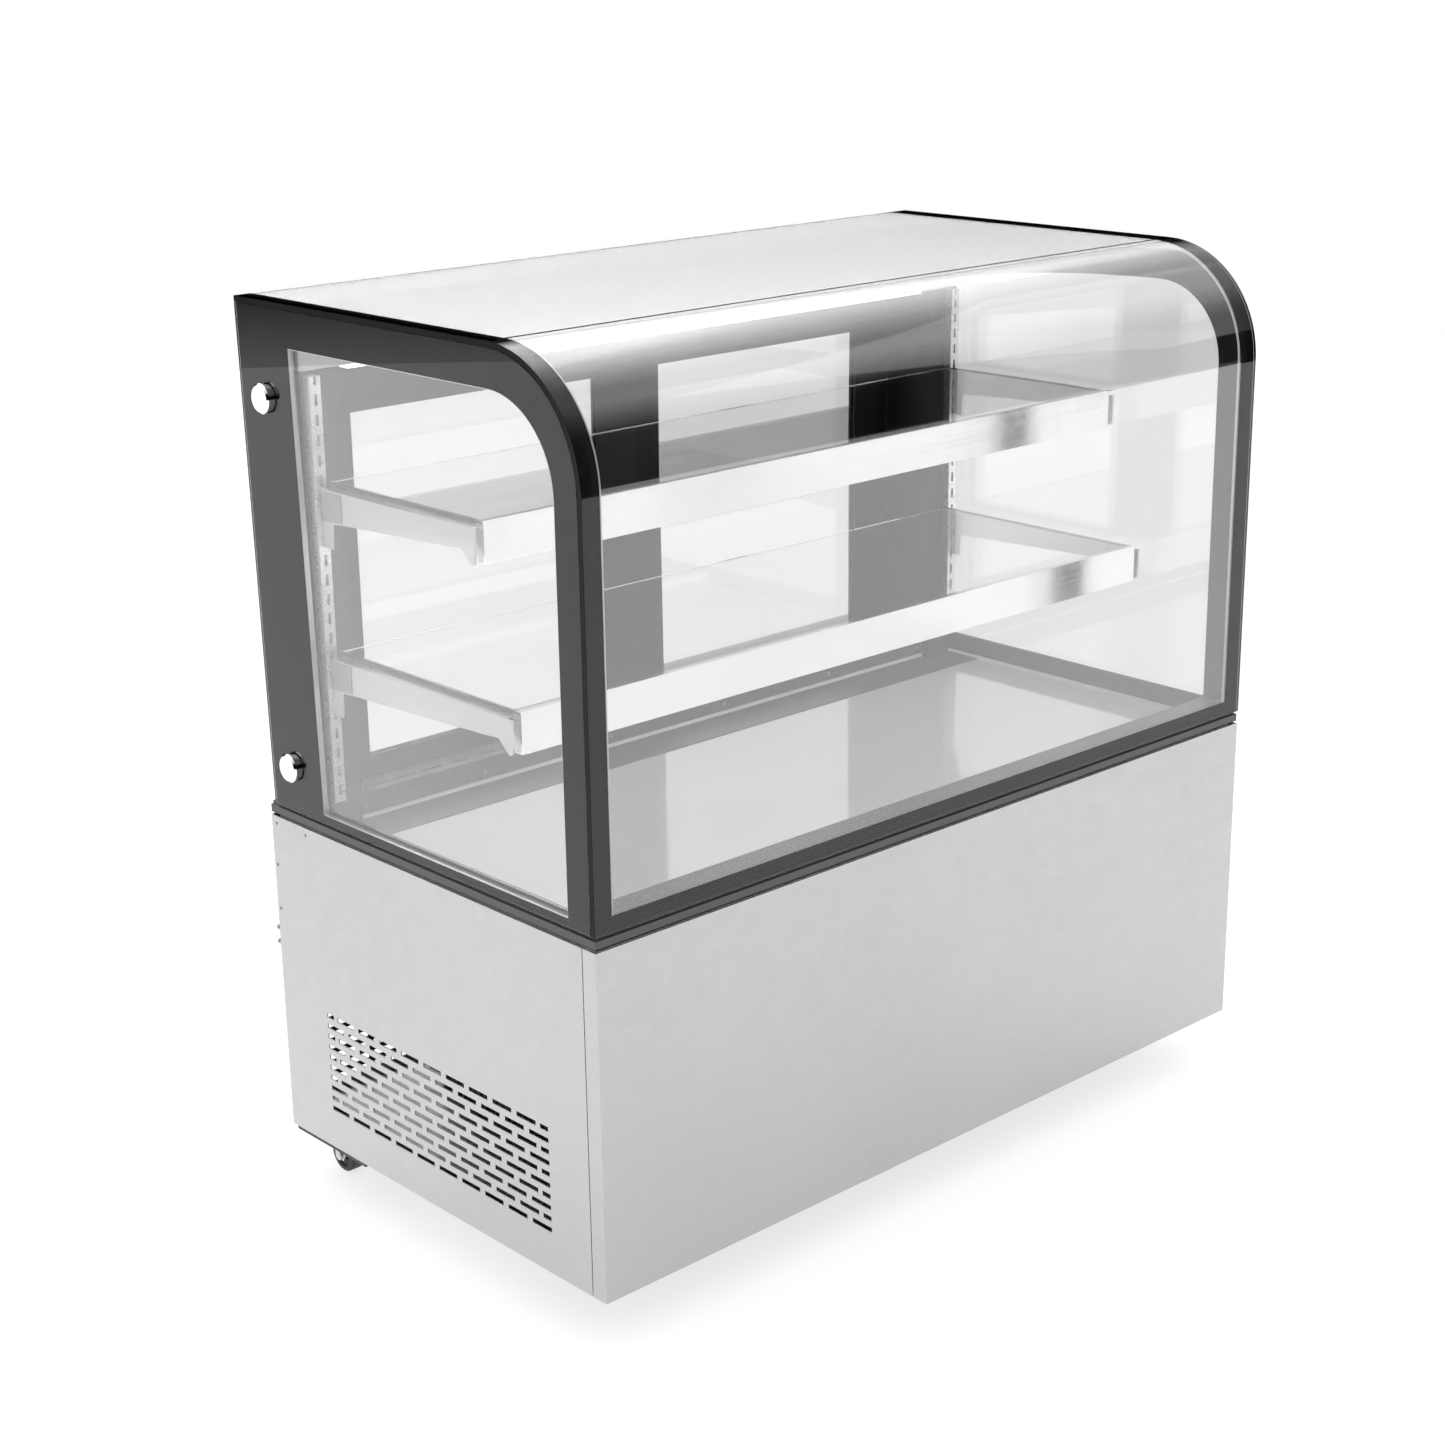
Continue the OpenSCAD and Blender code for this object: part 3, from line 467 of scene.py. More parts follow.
STEEL = (0.475, 0.477, 0.479)
FINISHES = {
    finish.name: finish
    for finish in (
        Metal("brushed_panel_x", STEEL, 0.33, Axis.X),
        Metal("brushed_panel_y", STEEL, 0.33, Axis.Y),
        Metal("polished_floor", (0.80, 0.80, 0.805), 0.07, Axis.X, 0.012, 0.02, share=0.28),
        Metal("satin_rail", (0.66, 0.662, 0.665), 0.17, Axis.X, 0.02, 0.015),
        Metal("bright_zinc", (0.78, 0.785, 0.79), 0.3, None, 0.05),
        Metal("dull_zinc", (0.52, 0.53, 0.54), 0.38, None, 0.12),
        Metal("galvanised", (0.45, 0.46, 0.47), 0.45, None, 0.1, 0.12),
        Metal("chrome", (0.88, 0.885, 0.89), 0.06, None, 0.01, 0.01),
        Metal("fins", (0.62, 0.62, 0.6), 0.4, Axis.Z),
        Metal("spacer", (0.7, 0.705, 0.71), 0.35, Axis.Z),
        Metal("copper", (0.75, 0.4, 0.22), 0.3, None, 0.1, 0.15),
        Paint("black_coat", (0.016, 0.016, 0.018), 0.42),
        # Below 0.5282 m the black rail is painted deep black: a painted shadow gap under the rail.
        Paint("black_rail", (0.06, 0.06, 0.062), 0.34, 300.0, 0.00006, 0.2, foot=0.5282),
        Paint("dark_trim", (0.03, 0.03, 0.031), 0.42, 500.0, 0.00005, gloss=0.4),
        Paint("dark_anodised", (0.008, 0.008, 0.009), 0.5, 600.0, 0.00004, gloss=0.25),
        Paint("border_print", (0.012, 0.012, 0.013), 0.6, 700.0, 0.00002, gloss=0.1),
        Paint("white_skin", (0.8, 0.8, 0.78), 0.55),
        Paint("white_plastic", (0.8, 0.8, 0.79), 0.3, coat=0.3),
        Paint("black_plastic", (0.02, 0.02, 0.022), 0.45, 900.0, 0.0002),
        Paint("green_plastic", (0.03, 0.42, 0.1), 0.28, coat=0.3),
        Paint("red_plastic", (0.55, 0.04, 0.03), 0.32, coat=0.2),
        Paint("rubber", (0.035, 0.035, 0.037), 0.62, 700.0, 0.0003),
        Paint("edge_seal", (0.004, 0.004, 0.005), 0.2, 90.0, 0.00003, gloss=0.12),
        Metal("arm_steel", (0.5, 0.5, 0.5), 0.35, Axis.Y, 0.04),
        # Darker copy of the arm steel: painted shade for the sleeves at the arms' roots.
        Metal("arm_steel_shaded", (0.27, 0.27, 0.275), 0.38, Axis.Y, 0.04),
        Paint("silicone", (0.62, 0.62, 0.62), 0.35, 60.0, 0.0002),
        Glass("pane"),
        Glass("shelf_pane", (0.955, 0.97, 0.968)),
        Coating("coating_with_painted_glow"),
        Lamp("diffuser", (1.0, 1.0, 1.0), 1.5),
        Lamp("digits", (1.0, 0.12, 0.06), 2.5),
    )
}
NODE_FINISH = {
    "brushed_panel_x": ("front_panel", "rear_panel", "rear_header"),
    "brushed_panel_y": ("left_side_panel", "right_side_panel"),
    "polished_floor": ("deck_pan",),
    "dark_trim": ("deck_curbs", "rear_riser"),
    "dark_anodised": ("rear_jambs", "door_track", "left_door_frame", "right_door_frame"),
    "satin_rail": ("upper_shelf_rail", "lower_shelf_rail"),
    "bright_zinc": ("shelf_standards", "cord_hooks"),
    "arm_steel": ("upper_brackets", "lower_brackets"),
    "dull_zinc": ("panel_screws", "caster_plates", "front_left_fork", "front_right_fork",
                  "rear_left_fork", "rear_right_fork"),
    "galvanised": ("base_tray", "drip_tray"),
    "chrome": ("glass_caps",),
    "fins": ("condenser", "evaporator"),
    "spacer": ("end_spacers",),
    "copper": ("copper_pipes",),
    "black_coat": ("base_frame", "compressor", "rear_grille"),
    "black_rail": ("top_rail",),
    "border_print": ("glass_borders",),
    "white_skin": ("insulated_base",),
    "white_plastic": ("evaporator_fan", "light_switch"),
    "black_plastic": ("fan_shroud", "controller", "cable_gland", "left_door_handle",
                      "right_door_handle", "condenser_fan"),
    "green_plastic": ("power_switch",),
    "red_plastic": ("front_left_brake", "front_right_brake"),
    "rubber": ("front_left_wheel", "front_right_wheel", "rear_left_wheel", "rear_right_wheel"),
    "pane": ("end_outer_glass", "end_inner_glass", "front_glass", "left_door_glass", "right_door_glass"),
    "shelf_pane": ("upper_shelf_glass", "lower_shelf_glass"),
    "diffuser": ("light_strips",),
}


class Palette:
    """Builds each finish once, when it is first asked for."""

    def __init__(self) -> None:
        """Starts with no material made."""
        self._made: dict[str, bpy.types.Material] = {}

    def get(self, name: str) -> bpy.types.Material:
        """The material of that finish."""
        if name not in self._made:
            self._made[name] = FINISHES[name].build()
        return self._made[name]

    def dress(self, piece: bpy.types.Object, name: str) -> None:
        """Gives every face of a piece that finish.

        Args:
            piece: the object.
            name: the finish's name.
        """
        slots = piece.data.materials
        if not slots:
            slots.append(self.get(name))
        for index in range(len(slots)):
            slots[index] = self.get(name)


# ---- Mesh helpers -----------------------------------------------------------


def add_piece(name: str, mesh: bmesh.types.BMesh, smooth: bool = False) -> bpy.types.Object:
    """Turns a bmesh into an object in the scene.

    Args:
        name: the piece's name.
        mesh: its shape; it is freed.
        smooth: True to shade its faces smooth.

    Returns:
        The new object.
    """
    bmesh.ops.recalc_face_normals(mesh, faces=mesh.faces)
    for face in mesh.faces:
        face.smooth = smooth
    data = bpy.data.meshes.new(name)
    mesh.to_mesh(data)
    mesh.free()
    piece = bpy.data.objects.new(name, data)
    bpy.context.scene.collection.objects.link(piece)
    return piece


def soften(piece: bpy.types.Object, radius: float, steps: int = 2, weld: bool = True) -> None:
    """Rounds a piece's sharp edges with modifiers.

    Args:
        piece: the object.
        radius: radius of the rounding.
        steps: faces across the rounding.
        weld: True where the mesh comes with its faces apart.
    """
    if weld:
        joined = piece.modifiers.new("weld", "WELD")
        joined.merge_threshold = 0.00002
    bevel = piece.modifiers.new("round", "BEVEL")
    bevel.width = radius
    bevel.segments = steps
    bevel.limit_method = "ANGLE"
    bevel.angle_limit = math.radians(40)
    bevel.use_clamp_overlap = True
    bevel.harden_normals = False
    piece.modifiers.new("even_normals", "WEIGHTED_NORMAL").keep_sharp = True


def loft(rings: Sequence[Sequence[Vector]], closed: bool, capped: bool = False) -> bmesh.types.BMesh:
    """Joins rings of equal length with quads.

    Args:
        rings: rows of points.
        closed: True where each row is a loop.
        capped: True to close the first and last row with a face.

    Returns:
        The bmesh.
    """
    mesh = bmesh.new()
    rows = [[mesh.verts.new(p) for p in ring] for ring in rings]
    for low, high in zip(rows, rows[1:]):
        count = len(low)
        for i in range(count if closed else count - 1):
            j = (i + 1) % count
            mesh.faces.new((low[i], low[j], high[j], high[i]))
    if capped:
        mesh.faces.new(rows[0])
        mesh.faces.new(rows[-1])
    return mesh


def arc(centre: Point, radius: float, start: float, end: float, steps: int) -> list[Point]:
    """Points of an arc in the (y, z) plane, angles in degrees from +Y towards +Z."""
    angles = [math.radians(start + (end - start) * i / steps) for i in range(steps + 1)]
    return [(centre[0] + radius * math.cos(a), centre[1] + radius * math.sin(a)) for a in angles]


# ---- Sub-assemblies ---------------------------------------------------------


@dataclass
class CasePart:
    """What every sub-assembly shares: the palette and a list of what it made."""

    palette: Palette

    def keep(self, piece: bpy.types.Object, body: str, finish: str, slot: str) -> bpy.types.Object:
        """Dresses a new piece, ties it to a CAD body and reports it.

        Args:
            piece: the new object.
            body: the CAD body that it rides on.
            finish: its finish.
            slot: the record's material slot; not used.

        Returns:
            The same object.
        """
        self.palette.dress(piece, finish)
        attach(piece, body)
        LOG.info("piece %s rides on %s in %s", piece.name, body, finish)
        return piece


@dataclass
class CadSkin(CasePart):
    """Finishes and soft edges of the CAD nodes.

    Attributes:
        sheet_edge: rounding of folded sheet.
        glass_edge: rounding of glass and drawn trim.
        cast_edge: rounding of frames.
    """

    sheet_edge: float = 0.0005
    glass_edge: float = 0.0008
    cast_edge: float = 0.0012

    def build(self, nodes: dict[str, bpy.types.Object]) -> None:
        """Gives each CAD node its finish and rounds its edges.

        Args:
            nodes: the frame's objects by name.
        """
        for finish, names in NODE_FINISH.items():
            for name in names:
                self.palette.dress(nodes[name], finish)
                LOG.info("node %s in %s", name, finish)
        missing = set(nodes) - {n for names in NODE_FINISH.values() for n in names}
        if missing:
            raise ValueError(f"no finish for {sorted(missing)}")
        self.round_edges(nodes)

    def round_edges(self, nodes: dict[str, bpy.types.Object]) -> None:
        """Rounds the edges that catch light.

        Args:
            nodes: the frame's objects by name.
        """
        widths = {
            self.sheet_edge: ("front_panel", "left_side_panel", "right_side_panel", "rear_panel",
                              "upper_brackets", "lower_brackets", "shelf_standards", "cord_hooks"),
            self.glass_edge: ("upper_shelf_glass", "lower_shelf_glass", "top_rail", "deck_curbs"),
            self.cast_edge: ("left_door_frame", "right_door_frame", "rear_jambs", "base_frame"),
        }
        for width, names in widths.items():
            for name in names:
                soften(nodes[name], width)


@dataclass
class Glazing(CasePart):
    """The glass housing: outlines shared by its borders, coating and seals.

    Attributes:
        front_border: width of the printed strip at each end of the front glass.
        strip_w: width of that strip together with the band beside it.
        side_border: width of the border along an end pane's front.
        rear_border: width of the border along an end pane's back.
        lean: how far an end pane's rear edge leans back.
        nose_r: outer radius of the bend.
        glass_t: thickness of the front glass.
        inner_t: thickness of an end's inner pane.
        print_t: thickness of a printed layer.
        bead_r: radius of a sealing bead.
        arc_steps: steps round an end pane's corner.
    """

    front_border: float = 0.0185
    strip_w: float = 0.0285
    side_border: float = 0.050
    rear_border: float = 0.108
    lean: float = 0.014
    nose_r: float = 0.155
    glass_t: float = 0.007
    inner_t: float = 0.004
    print_t: float = 0.0003
    bead_r: float = 0.0016
    arc_steps: int = 24

    def measure(self) -> None:
        """Reads the glass lines from the frame."""
        low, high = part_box("front_glass")
        self.front, self.back = low.y, high.y
        self.bottom, self.top = low.z, high.z
        self.half = high.x
        inner_low, inner_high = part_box("end_inner_glass")
        self.inner_in = inner_high.x - self.inner_t
        self.inner_low, self.inner_top = inner_low.z, inner_high.z
        self.inner_front, self.inner_back = inner_low.y, inner_high.y

    def outline(self, front: float, back_low: float, back_high: float,
                bottom: float, top: float, radius: float) -> list[Point]:
        """The (y, z) loop of a pane with a round top front corner and a leaning back edge.

        Args:
            front: Y of the front edge.
            back_low: Y of the back edge's foot.
            back_high: Y of the back edge at the glass's full height.
            bottom: Z of the lower edge.
            top: Z of the upper edge.
            radius: radius of the top front corner.

        Returns:
            The loop's points.
        """
        nose = arc((front + radius, top - radius), radius, 180, 90, self.arc_steps)
        share = (top - bottom) / (self.top - self.bottom)
        back_top = back_low + (back_high - back_low) * min(1.0, share)
        return [(back_low, bottom), (front, bottom), *nose, (back_top, top)]

    def window(self, grow: float) -> list[Point]:
        """Loop of the clear part of an end pane, grown on every side.

        Args:
            grow: how far it grows.

        Returns:
            The loop's points.
        """
        back = self.back - self.rear_border + grow
        return self.outline(self.front + self.side_border - grow, back - self.lean, back,
                            self.bottom + 0.010 - grow, self.top - self.side_border - 0.004 + grow,
                            self.nose_r - 0.045 + grow)

    def build(self) -> None:
        """Adds the inner borders, the coating and the seals."""
        self.measure()
        for end in End:
            self.inner_border(end)
            self.edge_band(end)
            self.strip(end)
            self.corner_bead(end)
        self.front_coating()
        self.rail_seal()

    def inner_border(self, end: End) -> None:
        """Dark border printed on an end's inner pane.

        Args:
            end: the end of the case.
        """
        radius = self.nose_r - 0.016
        outer = self.outline(self.inner_front + 0.0005, self.inner_back - self.lean, self.inner_back - 0.0005,
                             self.inner_low + 0.0005, self.inner_top - 0.0005, radius)
        inner = self.window(-0.003)
        x = end.value * (self.inner_in - 0.0002)
        thick = end.value * self.print_t
        rings = [[Vector((px, y, z)) for y, z in loop]
                 for px, loop in ((x, outer), (x, inner), (x - thick, inner), (x - thick, outer), (x, outer))]
        mesh = loft(rings, closed=True)
        bmesh.ops.remove_doubles(mesh, verts=mesh.verts, dist=0.00001)
        piece = add_piece(f"inner_border_{end.side}", mesh)
        self.keep(piece, "cabinet", "border_print", "border_black")

    def profile(self, depth: float) -> list[Point]:
        """The (y, z) line of the front glass at a depth below its outer face.

        Args:
            depth: how far below the outer face.

        Returns:
            The line's points, from its foot to its back.
        """
        centre = (self.front + self.nose_r, self.top - self.nose_r)
        bend = arc(centre, self.nose_r - depth, 180, 90, 2 * self.arc_steps)
        return [(self.front + depth, self.bottom + 0.001), *bend, (self.back - 0.001, self.top - depth)]

    def band(self, name: str, finish: str, near: float, far: float, depths: tuple[float, float]) -> None:
        """Lays a thin band along the front glass, from its foot to its back.

        Args:
            name: the piece's name.
            finish: its finish.
            near: X of its first edge.
            far: X of its second edge.
            depths: depths of its two faces below the glass's outer face.
        """
        outer, inner = (self.profile(depth) for depth in depths)
        rings = [[Vector((x, y, z)) for y, z in line]
                 for x, line in ((near, outer), (far, outer), (far, inner), (near, inner))]
        rows = [[ring[i] for ring in rings] for i in range(len(outer))]
        piece = add_piece(name, loft(rows, closed=True, capped=True))
        self.keep(piece, "cabinet", finish, "border_black")

    def edge_band(self, end: End) -> None:
        """Black seal over the front glass's end face.

        Args:
            end: the end of the case.
        """
        near, far = end.value * self.half, end.value * (self.half + 0.0004)
        self.band(f"glass_end_seal_{end.side}", "edge_seal", near, far, (0.0002, 0.0068))

    def strip(self, end: End) -> None:
        """Second printed band beside the border of the front glass.

        Args:
            end: the end of the case.
        """
        near = end.value * (self.half - self.front_border - 0.0002)
        far = end.value * (self.half - self.strip_w)
        depths = (self.glass_t, self.glass_t + self.print_t)
        self.band(f"glass_end_band_{end.side}", "border_print", near, far, depths)

    def corner_bead(self, end: End) -> None:
        """Clear silicone bead that joins the front glass to an end's inner pane.

        Args:
            end: the end of the case.
        """
        x = end.value * (self.half - self.strip_w - 0.0022)
        line = self.profile(0.0094)
        line[0] = (line[0][0], self.bottom + 0.0155)
        across = Vector((1, 0, 0))
        turns = [math.tau * k / 8 for k in range(8)]
        rows = []
        for index, (y, z) in enumerate(line):
            before, after = line[max(0, index - 1)], line[min(len(line) - 1, index + 1)]
            along = Vector((0, after[0] - before[0], after[1] - before[1])).normalized()
            side = across.cross(along)
            rows.append([Vector((x, y, z)) + self.bead_r * (math.cos(a) * across + math.sin(a) * side)
                         for a in turns])
        piece = add_piece(f"corner_bead_{end.side}", loft(rows, closed=True, capped=True), smooth=True)
        self.keep(piece, "cabinet", "silicone", "satin_rail")

    def front_coating(self) -> None:
        """Film on the inner face of the front glass, between its printed strips."""
        thickness = self.glass_t + 0.0004
        radius = self.nose_r - thickness
        line = [(self.front + thickness, self.bottom + 0.0195)]
        line += arc((self.front + self.nose_r, self.top - self.nose_r), radius, 180, 90, 2 * self.arc_steps)
        line += [(self.back - 0.002, self.top - thickness)]
        half = self.half - self.strip_w - 0.0005
        rows = [[Vector((x, y, z)) for y, z in line] for x in (-half, half)]
        piece = add_piece("front_glass_coating", loft(rows, closed=False), smooth=True)
        # Over the flat top this film's material paints a milky glow: painted light.
        self.keep(piece, "cabinet", "coating_with_painted_glow", "clear_glass")

    def rail_seal(self) -> None:
        """Black bead between the front glass and the rail."""
        y, z = self.front + 0.0022, self.bottom + 0.0004
        ring = arc((y, z), self.bead_r, 0, 360, 10)[:-1]
        rows = [[Vector((x, a, b)) for a, b in ring] for x in (-self.half + 0.003, self.half - 0.003)]
        piece = add_piece("front_glass_seal", loft(rows, closed=True, capped=True), smooth=True)
        self.keep(piece, "cabinet", "black_plastic", "black_plastic")


@dataclass
class Floor(CasePart):
    """Bead round the edge of the floor pan, and the dark sheet over its rear.

    Attributes:
        radius: radius of the bead.
        strip_w: depth of the painted-shade sheet.
        strip_t: its thickness.
        side_gap: gap between the sheet and a curb's outer face.
        curb_t: thickness of a curb.
        ledge: distance from the front glass to the bead.
        steps: faces across the bead.
    """

    radius: float = 0.0045
    strip_w: float = 0.070
    strip_t: float = 0.0008
    side_gap: float = 0.0045
    curb_t: float = 0.003
    ledge: float = 0.0535
    steps: int = 6

    def build(self) -> None:
        """Adds the bead along the riser and both curbs, then the painted-shade sheet."""
        pan_low, pan_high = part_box("deck_pan")
        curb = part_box("deck_curbs")[1].x - self.curb_t
        z = pan_high.z
        back = pan_high.y
        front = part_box("front_glass")[0].y + self.ledge
        r = self.radius
        path = [(-curb, front), (-curb, back), (curb, back), (curb, front)]
        inward = [(1, 1), (1, -1), (-1, -1), (-1, 1)]
        rings = []
        for (x, y), (sx, sy) in zip(path, inward):
            ring = []
            for step in range(self.steps + 1):
                angle = math.radians(90 * step / self.steps)
                out = r * (1 - math.cos(angle))
                up = r * (1 - math.sin(angle))
                ring.append(Vector((x + sx * out, y + (sy * out if y == back else 0), z + up)))
            ring.append(Vector((x, y, z)))
            rings.append(ring)
        piece = add_piece("floor_bead", loft(rings, closed=True, capped=True), smooth=True)
        self.keep(piece, "cabinet", "silicone", "polished_steel")
        # The dark sheet is painted shade along the rear of the floor.
        self.painted_shade_sheet(back - r - 0.0002, z)

    def painted_shade_sheet(self, back: float, z: float) -> None:
        """Dark sheet over the rear of the floor, folded down at its front edge: painted shade along the foot
        of the riser.

        Args:
            back: Y of the sheet's back edge.
            z: height of the floor.
        """
        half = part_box("deck_curbs")[1].x - self.side_gap
        outline = [(back, z), (back, z + self.strip_t), (back - self.strip_w, z + self.strip_t),
                   (back - self.strip_w - self.strip_t, z + 0.5 * self.strip_t),
                   (back - self.strip_w - self.strip_t, z)]
        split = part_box("rear_jambs")[0].y
        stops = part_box("rear_riser")[1].x
        rear = [(y, h) if y < split else (split, h) for y, h in outline]
        wide = [[Vector((x, y, h)) for y, h in rear] for x in (-half, half)]
        piece = add_piece("floor_painted_shade", loft(wide, closed=True, capped=True))
        self.keep(piece, "cabinet", "dark_trim", "dark_trim")
        heel = [(split, z), (split, z + self.strip_t), (back, z + self.strip_t), (back, z)]
        narrow = [[Vector((x, y, h)) for y, h in heel] for x in (-stops, stops)]
        piece = add_piece("floor_painted_shade_heel", loft(narrow, closed=True, capped=True))
        self.keep(piece, "cabinet", "dark_trim", "dark_trim")


@dataclass
class Shelf(CasePart):
    """One shelf's small parts: the caps of its rail, and the sleeves and noses of its arms.

    Attributes:
        level: "upper" or "lower", as in the CAD nodes' names.
        sheet_t: thickness of the caps and sleeves.
        sleeve: length of a sleeve.
        sleeve_h: height of a sleeve.
        edge: rounding of their edges.
    """

    level: str = "upper"
    sheet_t: float = 0.0012
    sleeve: float = 0.042
    sleeve_h: float = 0.037
    edge: float = 0.0003

    def build(self) -> None:
        """Adds the cap, sleeve and nose at both ends."""
        for end in End:
            self.rail_cap(end)
            self.arm_sleeve(end)
            self.arm_nose(end)

    def prism(self, name: str, outline: Sequence[Point], x0: float, x1: float) -> bpy.types.Object:
        """A flat plate with that (y, z) outline between two values of X."""
        rings = [[Vector((x, y, z)) for y, z in outline] for x in (x0, x1)]
        return add_piece(name, loft(rings, closed=True, capped=True))

    def rail_cap(self, end: End) -> None:
        """Plate that closes the rail's end, with a rounded heel.

        Args:
            end: the end of the case.
        """
        low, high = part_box(f"{self.level}_shelf_rail")
        y0, y1 = low.y + 0.0002, low.y + 0.0155
        heel = arc((y1 - 0.006, low.z + 0.0065), 0.006, -90, 0, 6)
        outline = [(y0, high.z - 0.0045), (y0, low.z + 0.0005), *heel, (y1, high.z - 0.0045)]
        x = end.value * (high.x - 0.0002)
        piece = self.prism(f"{self.level}_rail_cap_{end.side}", outline, x, x - end.value * self.sheet_t)
        soften(piece, self.edge, weld=False)
        self.keep(piece, "cabinet", "arm_steel", "satin_rail")

    def arm_nose(self, end: End) -> None:
        """Hooked nose that carries the arm on past the rail's end.

        Args:
            end: the end of the case.
        """
        arm_low, arm_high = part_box(f"{self.level}_brackets")
        low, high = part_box(f"{self.level}_shelf_rail")
        tip, top = arm_low.y, arm_high.z
        heel = arc((low.y + 0.0065, low.z + 0.006), 0.005, 180, 330, 8)
        root, lip = tip + 0.012, top - 0.0004
        outline = [(root, top - 0.0268), (root, lip), (low.y + 0.0008, lip), *heel]
        x0, x1 = arm_high.x - 0.0031, arm_high.x + 0.0001
        piece = self.prism(f"{self.level}_arm_nose_{end.side}", outline, end.value * x0, end.value * x1)
        soften(piece, self.edge, weld=False)
        self.keep(piece, "cabinet", "arm_steel", "bright_steel")

    def arm_sleeve(self, end: End) -> None:
        """Folded sleeve that stiffens the arm's root, in a darker copy of the arm steel: painted shade.

        Args:
            end: the end of the case.
        """
        low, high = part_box(f"{self.level}_brackets")
        back = high.y - 0.008
        top = high.z - 0.0025
        foot = top - self.sleeve_h
        outline = [(back, top), (back - self.sleeve, top), (back - self.sleeve, foot + 0.001), (back, foot)]
        x = end.value * (high.x - 0.0001)
        piece = self.prism(f"{self.level}_arm_sleeve_{end.side}", outline, x, x + end.value * self.sheet_t)
        soften(piece, self.edge, weld=False)
        self.keep(piece, "cabinet", "arm_steel_shaded", "bright_steel")


def slab(mesh: bmesh.types.BMesh, low: Sequence[float], high: Sequence[float]) -> None:
    """Adds a closed block between two corners to a bmesh.

    Args:
        mesh: the bmesh.
        low: corner with the smallest values.
        high: corner with the largest values.
    """
    plan = ((low[0], low[1]), (high[0], low[1]), (high[0], high[1]), (low[0], high[1]))
    corners = [[mesh.verts.new((x, y, z)) for x, y in plan] for z in (low[2], high[2])]
    mesh.faces.new(corners[0])
    mesh.faces.new(corners[1])
    for i in range(4):
        j = (i + 1) % 4
        mesh.faces.new((corners[0][i], corners[0][j], corners[1][j], corners[1][i]))


